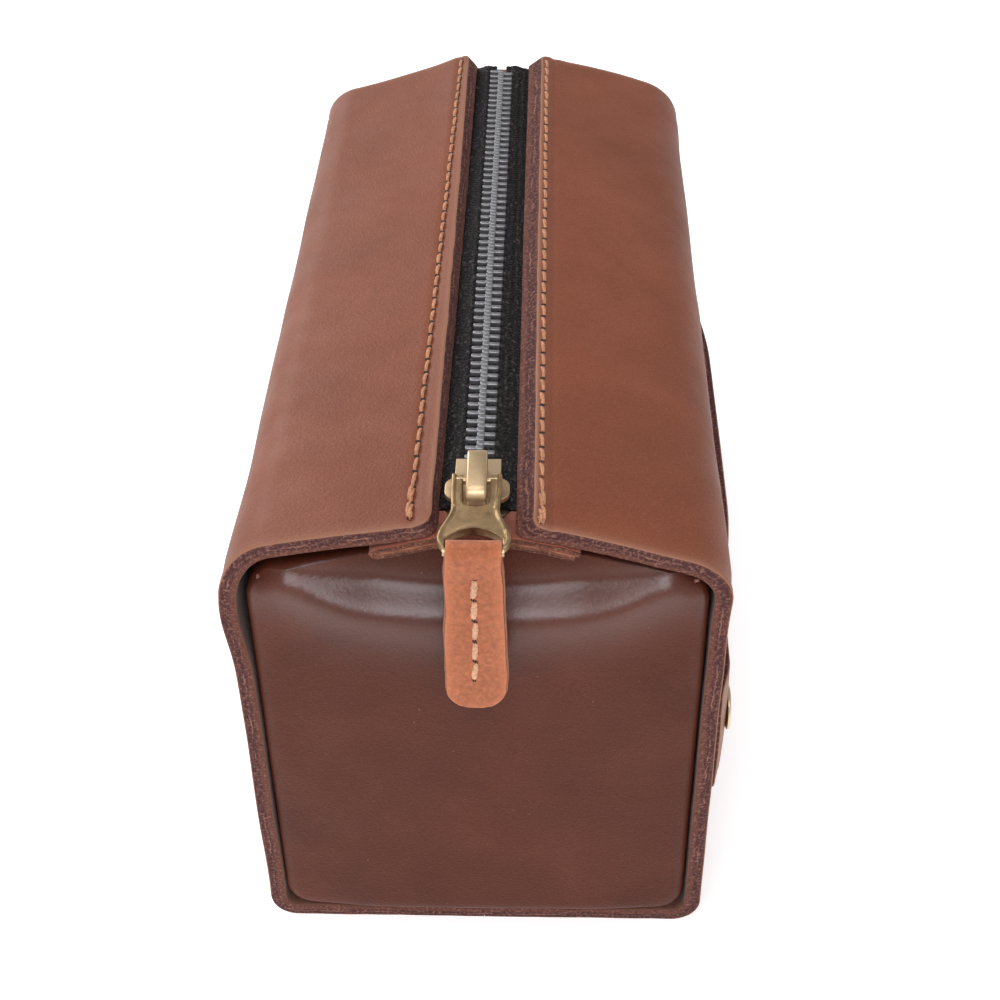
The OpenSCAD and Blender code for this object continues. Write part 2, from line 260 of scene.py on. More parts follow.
def leather(name, colour, roughness, grain, shine, mottle=0.16, gloss=0.0):
    """Grain side of waxed leather: fine pores, soft mottling, faint scratches, worn rims."""
    n = Nodes(name)
    fine = n.noise(1100, 3, 0.6)
    folds = n.math("ADD", n.math("MULTIPLY", n.attribute("crease"), 0.25), 0.35)
    creases = n.math("MULTIPLY", n.noise(300, 5, 0.62, n.stretched((0.7, 1, 1.6)), 0.6), folds)
    patches = n.noise(90, 5, 0.6)
    pebble = n.noise(2700, 2, 0.55)
    scratches = n.noise(60, 6, 0.75, n.stretched((9, 1.3, 1.3)), 1.5)
    base = n.shades(n.noise(26, 4, 0.55, distortion=0.8), colour,
                    (0.3, 1 - mottle), (0.5, 1), (0.72, 1 + mottle))
    layers = ((patches, scaled(colour, 0.8), (0.35, 0), (0.75, 0.35)),
              (pebble, scaled(colour, 0.55), (0.34, SPECKLE), (0.5, 0)),
              (pebble, scaled(colour, 1.55), (0.5, 0), (0.68, SPECKLE)),
              (n.noise(2300, 2, 0.5), scaled(colour, 0.62), (0.62, 0), (0.72, 0.5)),
              (n.noise(760, 2, 0.5), WORN, (0.76, 0), (0.8, 0.4)),
              (scratches, scaled(colour, 1.45), (0.64, 0), (0.70, 0.28), (0.73, 0)),
              (n.attribute("rim"), WORN, (0.0, 0), (1.0, 0.75)))
    for value, over, *stops in layers:
        base = n.tint(base, value, over, *stops)
    normal = n.bump(creases, 0.28 * grain, 0.0005)
    normal = n.bump(fine, 0.25 * grain, 0.0003, normal)
    normal = n.bump(n.cells(1500), 0.35 * grain, 0.00025, normal)
    rough = n.greys(patches, (0.2, roughness - 0.07), (0.8, roughness + 0.08))
    n.link(colour=base, normal=normal, roughness=rough)
    n.set(Specular_IOR_Level=shine)
    if gloss:
        # Wax rubbed up where the leather is bent over.
        coat = n.math("MULTIPLY", n.attribute("crease"), gloss)
        n.tree.links.new(coat, n.shader.inputs["Coat Weight"])
        n.tree.links.new(n.bump(fine, 0.12, 0.0003), n.shader.inputs["Coat Normal"])
        n.set(Coat_Roughness=0.3)
    return n.material


def raw_edge(name, dark, mid, light):
    """Cut edge of thick leather: paler skin and flesh sides, a dark core, a broken pale streak, fibres."""
    n = Nodes(name)
    fibres = n.noise(1400, 5, 0.7)
    blots = n.noise(420, 4, 0.6)
    shift = n.math("ADD", n.math("MULTIPLY", n.math("SUBTRACT", blots, 0.5), 0.42),
                   n.math("MULTIPLY", n.math("SUBTRACT", n.noise(55, 3, 0.5), 0.5), 0.5))
    level = n.math("ADD", n.attribute("depth"), shift)
    base = n.ramp(level, [(0.0, mid), (0.14, dark), (0.56, dark), (0.68, mid), (1.0, mid)])
    streak = n.greys(level, (0.33, 0), (0.40, 1), (0.47, 0))
    broken = n.greys(n.noise(150, 4, 0.7), (0.48, 0), (0.6, 0.8))
    base = n.mix(n.mix(1.0, streak, broken, "MULTIPLY"), base, rgba(light))
    base = n.tint(base, fibres, light, (0.50, 0), (0.66, 0.7))
    base = n.tint(base, n.noise(900, 3, 0.6), scaled(dark, 0.5), (0.3, 0.5), (0.42, 0))
    normal = n.bump(fibres, 0.8, 0.0006)
    n.link(colour=base, normal=n.bump(blots, 0.5, 0.0008, normal))
    n.set(Roughness=0.85, Specular_IOR_Level=0.25)
    return n.material


def suede(name, colour, nap=1.0):
    """Flesh side: short nap with lighter and darker fibres."""
    n = Nodes(name)
    fibres = n.noise(900, 6, 0.75)
    base = n.shades(fibres, colour, (0.3, 0.6), (0.5, 1), (0.7, 1.45))
    base = n.tint(base, n.noise(60, 4, 0.6), scaled(colour, 0.7), (0.35, 0.4), (0.7, 0))
    base = n.tint(base, n.attribute("rim"), scaled(colour, 1.7), (0.0, 0), (1.0, 0.6))
    n.link(colour=base, normal=n.bump(fibres, 0.6 * nap, 0.0005))
    n.set(Roughness=0.8, Specular_IOR_Level=0.2, Sheen_Weight=0.15, Sheen_Roughness=0.5)
    return n.material


def brass_metal(name, colour, roughness, worn):
    """Aged metal: brown stains in the hollows, bright rubbed edges, fine scratches."""
    n = Nodes(name)
    stains = n.noise(420, 5, 0.65, distortion=0.5)
    scratches = n.noise(900, 4, 0.7, n.stretched((1, 6, 1)))
    edges = n.add("ShaderNodeNewGeometry").outputs["Pointiness"]
    base = n.shades(stains, colour, (0.28, 0.62), (0.52, 1), (0.75, 1.15))
    base = n.tint(base, edges, worn, (0.50, 0), (0.56, 0.8))
    base = n.tint(base, edges, scaled(colour, 0.3), (0.44, 0.75), (0.49, 0))
    rough = n.greys(scratches, (0.3, roughness - 0.08), (0.7, roughness + 0.12))
    normal = n.bump(scratches, 0.12, 0.0002)
    n.link(colour=base, roughness=rough, normal=n.bump(stains, 0.1, 0.0002, normal))
    n.set(Metallic=0.9)
    return n.material


def woven_tape(name, colour):
    """Black polyester tape, with painted glints (much lighter specks in the base colour) on the threads,
    and a little lint.
    """
    n = Nodes(name)
    fibres = n.noise(1700, 4, 0.65, n.stretched((1, 0.6, 1)))
    # Painted glints: the ramp's top stop, 13 times the tape's colour, paints specks of reflected light into
    # the base colour.
    base = n.shades(fibres, colour, (0.4, 0.4), (0.56, 1.5), (0.7, 13))
    base = n.tint(base, n.noise(500, 4, 0.7), (0.12, 0.1, 0.09), (0.66, 0), (0.8, 0.35))
    n.link(colour=base, normal=n.bump(fibres, 0.8, 0.0004))
    n.set(Roughness=0.6, Specular_IOR_Level=0.2)
    return n.material


def waxed_thread(name, colour):
    """Twisted thread, with darker strands and darker stretches."""
    n = Nodes(name)
    strands = n.noise(2600, 4, 0.65, n.stretched((1, 0.5, 1)))
    base = n.shades(strands, colour, (0.3, 0.45), (0.5, 1), (0.72, 1.5))
    base = n.tint(base, n.noise(140, 3, 0.5), scaled(colour, 0.55), (0.4, 0.45), (0.65, 0))
    n.link(colour=base, normal=n.bump(strands, 0.6, 0.0002))
    n.set(Roughness=0.55, Specular_IOR_Level=0.35)
    return n.material


WRAP_BROWN = (0.235, 0.070, 0.035)
# Painted shade: the end panels are the same leather as the wrap, with the base colour darkened to stand in
# for the shade on the end faces and to cancel the floor's reflection in them.
PANEL_BROWN_PAINTED_SHADE = (0.100, 0.024, 0.011)
TAN = (0.48, 0.152, 0.068)
EDGE_DARK = (0.085, 0.031, 0.031)
EDGE_MID = (0.15, 0.054, 0.040)
EDGE_LIGHT = (0.42, 0.19, 0.13)

wrap_leather = leather("wrap_leather", WRAP_BROWN, roughness=0.5, grain=0.7, shine=0.17)
panel_leather = leather("panel_leather", PANEL_BROWN_PAINTED_SHADE, roughness=0.48, grain=0.9, shine=0.18,
                        mottle=0.22, gloss=1.0)
wrap_edge = raw_edge("wrap_edge", EDGE_DARK, EDGE_MID, EDGE_LIGHT)
# Partly painted shade: the flesh side is brown, made darker so that where it shows in the gaps between the
# end panels and the wrap, the gaps look shaded.
wrap_flesh = suede("wrap_flesh", (0.14, 0.06, 0.038))
trim_leather = suede("trim_leather", TAN, 1.3)
trim_edge = raw_edge("trim_edge", (0.20, 0.075, 0.045), (0.36, 0.14, 0.075), (0.60, 0.30, 0.17))
trim_flesh = suede("trim_flesh", (0.34, 0.14, 0.085), 1.2)
# Painted shade: the zip tabs are the tan trim leather. These darker copies of its grain and edge colours
# stand in for the shade under the lips and the pull.
tab_leather_painted_shade = suede("tab_leather_painted_shade", (0.27, 0.08, 0.048), 1.6)
tab_edge_painted_shade = raw_edge("tab_edge_painted_shade", (0.10, 0.036, 0.026), (0.20, 0.075, 0.045), (0.46, 0.19, 0.10))
# Partly painted sheen: this is the handle's own light brown, made a little lighter to stand in for the
# light that its outer face reflects at grazing angles.
handle_leather = leather("handle_leather", (0.36, 0.17, 0.10), roughness=0.55, grain=0.8, shine=0.2)
brass = brass_metal("antique_brass", (0.47, 0.31, 0.16), 0.4, (0.74, 0.55, 0.34))
rivet_brass = brass_metal("rivet_brass", (0.58, 0.46, 0.30), 0.32, (0.8, 0.68, 0.5))
teeth_metal = brass_metal("teeth_metal", (0.10, 0.098, 0.10), 0.46, (0.32, 0.315, 0.325))
zip_tape_cloth = woven_tape("zip_tape_cloth", (0.009, 0.0072, 0.0068))
thread = waxed_thread("thread", (0.60, 0.27, 0.14))
pale_thread = waxed_thread("pale_thread", (0.78, 0.42, 0.25))
# Painted shade: this is the same thread as the seams, darkened so that the corner knots do not look lit on
# top.
knot_thread_painted_shade = waxed_thread("knot_thread_painted_shade", (0.22, 0.09, 0.065))
hole_shadow = suede("hole_shadow", (0.018, 0.008, 0.006))


# ---- mesh helpers ----


def make_object(name, verts, faces, materials, slots=None, attributes=None, sharp=None):
    mesh = bpy.data.meshes.new(name)
    mesh.from_pydata(np.asarray(verts, float).tolist(), [], faces)
    for material in materials:
        mesh.materials.append(material)
    if slots is not None:
        mesh.polygons.foreach_set("material_index", np.asarray(slots, np.int32))
    for key, values in (attributes or {}).items():
        data = mesh.attributes.new(key, "FLOAT", "POINT").data
        data.foreach_set("value", np.asarray(values, np.float32))
    mesh.polygons.foreach_set("use_smooth", [True] * len(mesh.polygons))
    if sharp:
        mesh.set_sharp_from_angle(angle=math.radians(sharp))
    mesh.validate()
    return place(name, mesh)


def smoothstep(t):
    t = np.clip(t, 0, 1)
    return t * t * (3 - 2 * t)


def bell(t):
    """1 at 0, falling smoothly to 0 on both sides."""
    return np.exp(-t ** 2)


def wave(points, scale, seed):
    """Smooth noise from -1 to 1 at each point."""
    p = np.asarray(points, float)
    shift = Vector((seed, seed * 1.7, seed * 0.3))
    flat = [noise.noise(Vector(q) * scale + shift) for q in p.reshape(-1, 3)]
    return np.array(flat).reshape(p.shape[:-1])


def edge_rows(grid, e):
    """The grid with one more row or column a distance e inside each of its four edges."""
    for axis in (0, 1):
        g = np.moveaxis(grid, axis, 0)

        def near(a, b):
            length = np.linalg.norm(b - a, axis=-1, keepdims=True)
            return (a + (b - a) * np.minimum(0.5, e / np.maximum(length, 1e-9)))[None]

        g = np.concatenate([g[:1], near(g[0], g[1]), g[1:-1], near(g[-1], g[-2]), g[-1:]])
        grid = np.moveaxis(g, 0, axis)
    return grid


def from_edges(grid):
    """Distance of each grid point from the nearest edge, along the grid."""
    result = np.full(grid.shape[:2], np.inf)
    for axis in (0, 1):
        g = np.moveaxis(grid, axis, 0)
        steps = np.linalg.norm(np.diff(g, axis=0), axis=-1)
        run = np.concatenate([np.zeros((1, g.shape[1])), np.cumsum(steps, axis=0)])
        result = np.minimum(result, np.moveaxis(np.minimum(run, run[-1] - run), 0, axis))
    return result


WALL_LEVELS = (0.1, 0.22, 0.36, 0.5, 0.64, 0.78, 0.9)     # rows of points between the two faces
PLY_DEPTH = 0.16


def slab(name, outer, inner, materials, edge, bulge, fuzz, seed, flip=False):
    """Closed sheet of leather between two grids of points, with rounded, rough cut edges."""
    outer = edge_rows(np.asarray(outer, float), edge)
    inner = edge_rows(np.asarray(inner, float), edge)
    rows, cols = outer.shape[:2]
    rim = np.exp(-from_edges(outer) / (0.9 * MM))
    index = np.arange(rows * cols).reshape(rows, cols)
    loop = np.concatenate([index[0, :], index[1:, -1], index[-1, -2::-1], index[-2:0:-1, 0]])
    inside = index.copy()
    inside[0], inside[-1] = index[1], index[-2]
    inside[:, 0], inside[:, -1] = inside[:, 1], inside[:, -2]
    inward = inside.ravel()[loop]
    o, n = outer.reshape(-1, 3), inner.reshape(-1, 3)
    out = o[loop] - o[inward]
    out /= np.maximum(np.linalg.norm(out, axis=1, keepdims=True), 1e-9)
    through = n[loop] - o[loop]
    thick = np.linalg.norm(through, axis=1, keepdims=True)
    o, n = o.copy(), n.copy()
    rough = wave(o[loop], 700, seed)[:, None]
    ragged = wave(o[loop], 130, seed + 5)[:, None]
    pared = through * np.minimum(0.25, 0.5 * edge / thick)
    o[loop] += pared - out * edge * 0.2 + out * fuzz * ragged
    n[loop] -= pared + out * edge * 0.2 - out * fuzz * (ragged + rough)
    parts, depths = [o, n], [np.zeros(len(o)), np.ones(len(n))]
    start, end = o[loop], n[loop]
    for level in WALL_LEVELS:
        ring = start + (end - start) * level
        swell = bulge * math.sin(math.pi * level) + fuzz * wave(ring, 900, seed + 2)[:, None]
        parts.append(ring + out * (swell + fuzz * 0.7 * wave(ring, 260, seed + 3)[:, None]))
        depths.append(np.full(len(loop), level))
    faces, slots = [], []

    def quads(a, b, c, d, slot):
        order = (a, b, c, d) if not flip else (d, c, b, a)
        faces.extend(np.stack([x.ravel() for x in order], 1).tolist())
        slots.extend([slot] * a.size)

    a, b, c, d = index[:-1, :-1], index[1:, :-1], index[1:, 1:], index[:-1, 1:]
    quads(a, b, c, d, 0)
    base = rows * cols
    quads(base + d, base + c, base + b, base + a, 2)
    rings = [loop] + [2 * base + k * len(loop) + np.arange(len(loop)) for k in range(len(WALL_LEVELS))]
    rings.append(base + loop)
    for upper, lower in zip(rings, rings[1:]):
        quads(upper, np.roll(upper, -1), np.roll(lower, -1), lower, 1)
    count = sum(len(p) for p in parts[2:])
    rims = np.concatenate([rim.ravel(), rim.ravel(), np.ones(count)])
    return make_object(name, np.concatenate(parts), faces, materials, slots,
                       {"depth": np.concatenate(depths), "rim": rims}, sharp=70)


def band_faces(rows, size):
    """Faces between rows of points, each row a closed ring of the same size."""
    faces = []
    for k in range(rows - 1):
        for j in range(size):
            m = (j + 1) % size
            faces.append((k * size + j, k * size + m, (k + 1) * size + m, (k + 1) * size + j))
    return faces


def tube(path, radius, sides=8, plies=0, twist=0.0, flat=1.0, up=(0, 0, 1)):
    """Vertices and faces of a closed tube along path. Thread has plies, twisted once per twist metres."""
    path = np.asarray(path, float)
    radii = np.broadcast_to(radius, (len(path),))
    tangents = np.gradient(path, axis=0)
    tangents /= np.linalg.norm(tangents, axis=1, keepdims=True)
    side = np.cross(np.asarray(up, float), tangents)
    side /= np.maximum(np.linalg.norm(side, axis=1, keepdims=True), 1e-9)
    over = np.cross(tangents, side)
    angles = np.arange(sides) / sides * 2 * math.pi
    run = np.concatenate([[0], np.cumsum(np.linalg.norm(np.diff(path, axis=0), axis=1))])
    verts = []
    for k in range(len(path)):
        lobes = 1 + (PLY_DEPTH * np.cos(plies * (angles - run[k] / twist * 2 * math.pi)) if plies else 0)
        ring = np.outer(np.cos(angles) * lobes, side[k]) + np.outer(np.sin(angles) * lobes * flat, over[k])
        verts.append(path[k] + ring * radii[k])
    verts.append(path[[0, -1]])
    faces = band_faces(len(path), sides)
    first, last = len(path) * sides, len(path) * sides + 1
    top = (len(path) - 1) * sides
    for j in range(sides):
        m = (j + 1) % sides
        faces.append((first, m, j))
        faces.append((last, top + j, top + m))
    return np.concatenate(verts), faces


class Pile:
    """Many small meshes gathered into one object."""

    def __init__(self):
        self.verts, self.faces, self.slots, self.count = [], [], [], 0

    def add(self, verts, faces, slot=0):
        self.verts.append(np.asarray(verts, float))
        self.faces += [tuple(i + self.count for i in f) for f in faces]
        self.slots += [slot] * len(faces)
        self.count += len(verts)

    def make(self, name, materials, sharp=None):
        return make_object(name, np.concatenate(self.verts), self.faces, materials, self.slots, sharp=sharp)


HARD_EDGE = math.radians(35)


def copy_node(name, node, material, bevel, segments=2):
    """A copy of a CAD node's mesh with its hard edges rounded off."""
    mesh = frame["nodes"][node].data.copy()
    b = bmesh.new()
    b.from_mesh(mesh)
    bmesh.ops.remove_doubles(b, verts=b.verts, dist=1e-6)
    bmesh.ops.dissolve_limit(b, angle_limit=math.radians(0.5), verts=b.verts, edges=b.edges)
    edges = [e for e in b.edges if len(e.link_faces) == 2 and e.calc_face_angle() > HARD_EDGE]
    bmesh.ops.bevel(b, geom=edges, offset=bevel, segments=segments, profile=0.5, affect="EDGES",
                    clamp_overlap=True)
    bmesh.ops.triangulate(b, faces=[f for f in b.faces if len(f.verts) > 4])
    clean = bpy.data.meshes.new(name)
    b.to_mesh(clean)
    b.free()
    clean.materials.append(material)
    clean.polygons.foreach_set("use_smooth", [True] * len(clean.polygons))
    clean.set_sharp_from_angle(angle=math.radians(38))
    return place(name, clean)


def finish_piece(obj, slot, *nodes, body=None):
    if body:
        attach(obj, body)
    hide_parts(*nodes)
    return obj


# ---- the rivets' axis, and baking pieces in place ----

RIVET_Y = (cap_high.y - cap_low.y) / 2 - (cap_high.z - cap_low.z) / 2
RIVET_Z = (cap_high.z + cap_low.z) / 2


def open_with(obj, rigid_at_rivets=False):
    """Bakes obj's transform into its mesh. Its points are read, and with rigid_at_rivets moved onto the
    rivets' centre lines, but only in a copy that is never written back, so obj does not bend.
    """
    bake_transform(obj)
    co = np.zeros(len(obj.data.vertices) * 3, np.float32)
    obj.data.vertices.foreach_get("co", co)
    points = co.reshape(-1, 3)
    if rigid_at_rivets:
        points[:, 1] = np.sign(points[:, 1]) * RIVET_Y
        points[:, 2] = RIVET_Z


# ---- the wrap ----

SLOPE = math.tan(ROOF)
SEAM_IN = 4.2 * MM                    # from the wrap's ends to the seams along its walls
EAR_LEFT = (1.7, 99, 11)              # swell of the front corner: height, middle and spread in mm
EAR_RIGHT = (0.7, 107, 7)
LIP_CORNER_R = {-1: 3.2 * MM, 1: 2.2 * MM}
WALL_BOW = 0.9                        # mm, swell in the middle of a wall
WRAP_COLUMNS = 112


def half_section():
    """Points and outward normals of the outer face, from the middle of the base up to a lip."""
    points, normals = [], []

    def line(a, b, normal, step, last=False):
        count = max(2, int(round((Vector(b) - Vector(a)).length / step)))
        for i in range(count + (1 if last else 0)):
            points.append(Vector(a).lerp(Vector(b), i / count))
            normals.append(Vector(normal))

    def arc(centre, radius, a0, a1, count):
        for i in range(count):
            a = a0 + (a1 - a0) * i / count
            normals.append(Vector((math.cos(a), math.sin(a))))
            points.append(Vector(centre) + radius * normals[-1])

    line((0, 0), (HALF_W - BASE_R, 0), (0, -1), 4 * MM)
    arc((HALF_W - BASE_R, BASE_R), BASE_R, -math.pi / 2, 0, 10)
    line((HALF_W, BASE_R), (HALF_W, TOP_ARC_Z), (1, 0), 2 * MM)
    arc((HALF_W - TOP_R, TOP_ARC_Z), TOP_R, 0, math.pi / 2 - ROOF, 14)
    up = (math.sin(ROOF), math.cos(ROOF))
    top = Vector((HALF_W - TOP_R + TOP_R * up[0], TOP_ARC_Z + TOP_R * up[1]))
    lip = Vector((LIP_X, LIP_Z))
    fine = lip + (top - lip).normalized() * 7 * MM
    line(top, fine, up, 2 * MM)
    line(fine, lip, up, 0.6 * MM, last=True)
    return np.array([tuple(p) for p in points]), np.array([tuple(n) for n in normals])


def along_bag(y):
    return (np.asarray(y) + HALF_L) / (2 * HALF_L)


def roof_lift(x, y, side):
    """How far a top panel stands above the straight slope, at distance x from the middle."""
    t = along_bag(y)
    spread = smoothstep((x - LIP_X) / (34 * MM))
    peak = 1.2 * MM * smoothstep((t - 0.55) / 0.45) * bell((x - LIP_X) / (7 * MM))
    if side < 0:
        return (2.6 - 3.9 * t) * MM * spread + peak
    middle = np.sin(math.pi * np.clip((x - LIP_X) / (38 * MM), 0, 1)) ** 1.2
    return ((0.4 + 0.9 * t) * middle - (0.5 - 0.9 * t) * spread) * MM + peak


def lip_shift(x, y, side, inner):
    """How far a lip lies outside its straight line. Its cut slants: the lower edge reaches further in."""
    t = along_bag(y)
    if side > 0:
        lean = -0.5 - 0.35 * t if inner else 2.5 - 0.2 * t
    else:
        lean = -0.75 - 0.9 * t if inner else -0.35 + 0.5 * t
    return lean * MM * smoothstep((24 * MM - x) / (14 * MM))


def stitch_x(y, side):
    return (13.0 + 0.2 * along_bag(y)) * MM if side > 0 else (13.2 - 1.5 * along_bag(y)) * MM


def roof_point(x, y, side, above=0.0):
    """Point on the outer face of a top panel."""
    z = LIP_Z - (x - LIP_X) * SLOPE + roof_lift(x, y, side) / math.cos(ROOF)
    return np.array([side * (x + above * math.sin(ROOF)), y, z + above * math.cos(ROOF)])


def wrap_side(name, side):
    section, normals = half_section()
    ys = np.linspace(-HALF_L, HALF_L, WRAP_COLUMNS)
    y = np.broadcast_to(ys[None, :], (len(section), len(ys)))
    x = np.broadcast_to(section[:, 0:1], y.shape)
    z = np.broadcast_to(section[:, 1:2], y.shape)
    nx, nz = normals[:, 0:1], normals[:, 1:2]
    p = np.stack([x * side, y, z], -1)
    ends = 1 - (y / HALF_L) ** 2
    seat = smoothstep(z / (8 * MM)) * np.where(nz < -0.5, 0, 1)
    wall = np.clip(nx, 0, 1) ** 4
    roof = np.clip(nz, 0, 1) ** 2
    height = np.clip(z / CORNER_Z, 0, 1)
    sides = (WALL_BOW * ends * np.sin(math.pi * height) + 0.35 * wave(p, 40, 4) * (1 - ends)) * MM * wall
    rough = (wave(p, 20, 3) * 0.5 + wave(p, 55, 9) * 0.2) * MM * seat
    rough *= smoothstep((np.hypot(x - LIP_X, z - LIP_Z) - 4 * MM) / (25 * MM))
    lift = roof_lift(x, y, side) * roof
    front = bell((y + HALF_L) / (30 * MM))
    size, middle, spread = EAR_LEFT if side < 0 else EAR_RIGHT
    ear = size * MM * front * bell((z - middle * MM) / (spread * MM)) * np.clip(nx, 0, 1)
    seam = -0.3 * MM * wall * bell((HALF_L - np.abs(y) - SEAM_IN) / (1.6 * MM))
    top = nz > 0.9
    groove = -0.32 * MM * np.where(top, 1, 0) * bell((x - stitch_x(y, side)) / MM)
    corner_r = LIP_CORNER_R[side]
    from_lip = np.hypot(x - LIP_X, z - LIP_Z)
    cut_back = corner_r - np.sqrt(corner_r ** 2 - np.clip(corner_r - from_lip, 0, corner_r) ** 2)
    fade = np.clip(1 - (HALF_L - np.abs(y)) / (11 * MM), 0, 1)
    gy = y - np.sign(y) * cut_back * fade * np.where(top, 1, 0)

    def grid(depth, skin):
        shift = lip_shift(x, y, side, depth > 0) * np.where(top, 1, 0)
        move = sides + rough + lift + ear + (seam + groove) * skin - depth
        gx = (x + shift + nx * move) * side
        gz = z + nz * move - shift * SLOPE
        if depth == 0:
            gz = np.maximum(gz, 0.0)
        return np.stack([gx, gy, gz], -1)

    return slab(name, grid(0, 1), grid(WRAP_T, 0), [wrap_leather, wrap_edge, wrap_flesh],
                edge=0.5 * MM, bulge=0.12 * MM, fuzz=0.16 * MM, seed=3 + side, flip=side < 0)


for side_name, side in SIDES:
    wrap = wrap_side("wrap_" + side_name + "_leather", side)
    open_with(wrap)
    finish_piece(wrap, "wrap_leather", "wrap_" + side_name, "wrap_base")

# ---- end panels ----

PANEL_HALF = HALF_W - WRAP_T - 0.35 * MM
PANEL_FOOT = WRAP_T + 0.1 * MM
PANEL_TOP = 116.5 * MM
PANEL_LEAN = math.radians(7)
PANEL_TOP_SLOPE = math.tan(PANEL_LEAN)
PANEL_R = 8 * MM
PANEL_FOOT_R = 7 * MM
PANEL_T = 2.2 * MM
PANEL_FLANGE = 14 * MM
PANEL_MIDDLE_Z = 62 * MM
KNOT_X, KNOT_Z = 44.3 * MM, 111 * MM
FAR_IN = 30 * MM                      # any distance from the outline at which a face is flat


def panel_ring(d):
    """Outline of an end panel, d inside its outermost outline, counterclockwise from the foot's middle."""
    foot_x = PANEL_HALF - PANEL_FOOT_R
    foot_z = PANEL_FOOT + PANEL_FOOT_R
    arc_x = PANEL_HALF - PANEL_R
    arc_z = PANEL_TOP - arc_x * PANEL_TOP_SLOPE - PANEL_R / math.cos(PANEL_LEAN)
    points = [(t * foot_x, PANEL_FOOT + d) for t in np.linspace(0, 1, 20)[:-1]]
    r = PANEL_FOOT_R - d
    for a in np.linspace(-math.pi / 2, 0, 9)[:-1]:
        points.append((foot_x + r * math.cos(a), foot_z + r * math.sin(a)))
    points += [(PANEL_HALF - d, z) for z in np.linspace(foot_z, arc_z, 44)[:-1]]
    r = PANEL_R - d
    for a in np.linspace(0, math.pi / 2 - PANEL_LEAN, 11)[:-1]:
        points.append((arc_x + r * math.cos(a), arc_z + r * math.sin(a)))
    x1 = arc_x + r * math.sin(PANEL_LEAN)
    z1 = arc_z + r * math.cos(PANEL_LEAN)
    top = PANEL_TOP - d / math.cos(PANEL_LEAN)
    points += [(x1 * (1 - t), z1 + (top - z1) * t) for t in np.linspace(0, 1, 22)]
    left = [(-x, z) for x, z in points[-2:0:-1]]
    return np.array(points + left)


def roll(t, radius):
    """1 at an edge, falling to 0 on a quarter circle of that radius."""
    s = 1 - np.clip(t / radius, 0, 1)
    return 1 - np.sqrt(np.maximum(1 - s ** 2, 0))


def smooth_max(a, b, blur=0.9 * MM):
    return 0.5 * (a + b + np.sqrt((a - b) ** 2 + blur ** 2) - blur)


def ridge_height(x):
    """Height of the line along which a panel bulges most. It sags in the middle."""
    return (103.5 + 8.5 * (x / (42.5 * MM)) ** 2) * MM


def panel_depth(x, z, d, seed):
    """How far the face lies behind the wrap's edge."""
    ax = np.abs(x)
    top = PANEL_TOP - ax * PANEL_TOP_SLOPE
    ridge = np.minimum(ridge_height(ax), top - 1.2 * MM)
    share = smoothstep((top - ridge) / (9 * MM))
    rise = (5.6 + 4.6 * share) * MM
    recess = (3.6 + 4.4 * share) * MM * smoothstep((z - ridge) / rise + 0.64) ** 1.5
    sides = 4.2 * MM * roll(PANEL_HALF - ax, 4.6 * MM)
    foot = 3.8 * MM * roll(z - PANEL_FOOT, 5 * MM)
    flat = 4.2 * MM * roll(d, 4.6 * MM) * (z < ridge)
    near_ridge = bell((z - ridge) / (14 * MM))
    bulge = (1.3 + 1.7 * near_ridge) * MM * smoothstep((PANEL_HALF - ax) / (24 * MM)) + 0.7 * MM
    slack = wave(np.stack([x, z, 0 * x], -1), 26, seed) * 0.5 * MM
    edges = smooth_max(smooth_max(sides, foot), flat)
    return smooth_max(edges, recess) - bulge + slack


def end_panel(name, end):
    rings = [(d, 1.0) for d in np.array([0, 0.25, 0.6, 1.1, 1.8, 2.6, 3.5, 4.6, 5.8]) * MM]
    inward = [*np.linspace(0.99, 0.87, 13), 0.85, 0.82, 0.78, 0.72, 0.65, 0.56, 0.46, 0.34, 0.2, 0.07]
    rings += [(5.8 * MM, scale) for scale in inward]
    centre = np.array([0, PANEL_MIDDLE_Z])

    def on_face(points, gap):
        x, z = points[:, 0], points[:, 1]
        return np.stack([x, panel_depth(x, z, np.full(len(points), gap), 2 + end), z], 1)

    base = panel_ring(0)
    size = len(base)
    rim = on_face(base, 0.0)
    verts = []
    for share in (1.0, 0.75, 0.5, 0.25):
        flange = rim.copy()
        flange[:, 1] += (PANEL_FLANGE - rim[:, 1]) * share
        verts.append(flange)
    for d, scale in rings:
        verts.append(on_face(centre + (panel_ring(d) - centre) * scale, d if scale == 1 else FAR_IN))
    count = len(verts)
    verts = np.concatenate(verts + [on_face(centre[None], FAR_IN)])
    from_knot = (np.abs(verts[:, 0]) - KNOT_X) ** 2 + (verts[:, 2] - KNOT_Z) ** 2
    verts[:, 1] += 1.6 * MM * np.exp(-(from_knot / (2.6 * MM) ** 2)) * (verts[:, 1] < 6 * MM)
    last = (count - 1) * size
    faces = band_faces(count, size)
    faces += [(last + j, last + (j + 1) % size, count * size) for j in range(size)]
    verts[:, 1] = (verts[:, 1] - HALF_L) * (1 if end < 0 else -1)
    if end > 0:
        faces = [f[::-1] for f in faces]
    ridge = ridge_height(verts[:, 0])
    reach = np.where(verts[:, 2] > ridge, 4.2 * MM, 10 * MM)
    creased = bell((verts[:, 2] - ridge) / reach)
    obj = make_object(name, verts, faces, [panel_leather, wrap_flesh, wrap_edge],
                      attributes={"crease": creased, "rim": np.zeros(len(verts))})
    thick = obj.modifiers.new("leather", "SOLIDIFY")
    thick.thickness = PANEL_T
    thick.offset = -1
    thick.material_offset = 1
    thick.material_offset_rim = 2
    return obj


for end_name, end in (("front", -1), ("rear", 1)):
    panel = end_panel(end_name + "_panel_leather", end)
    finish_piece(panel, "panel_leather", end_name + "_end_panel", body="bag")

# ---- tabs that close the ends of the zip ----


def under_roof(x):
    """Height of the top panels' inner faces at distance x from the middle."""
    return LIP_LOW_Z - np.maximum(0, np.abs(x) - LIP_LOW_X) * SLOPE


TAB_HALF = 20.8 * MM


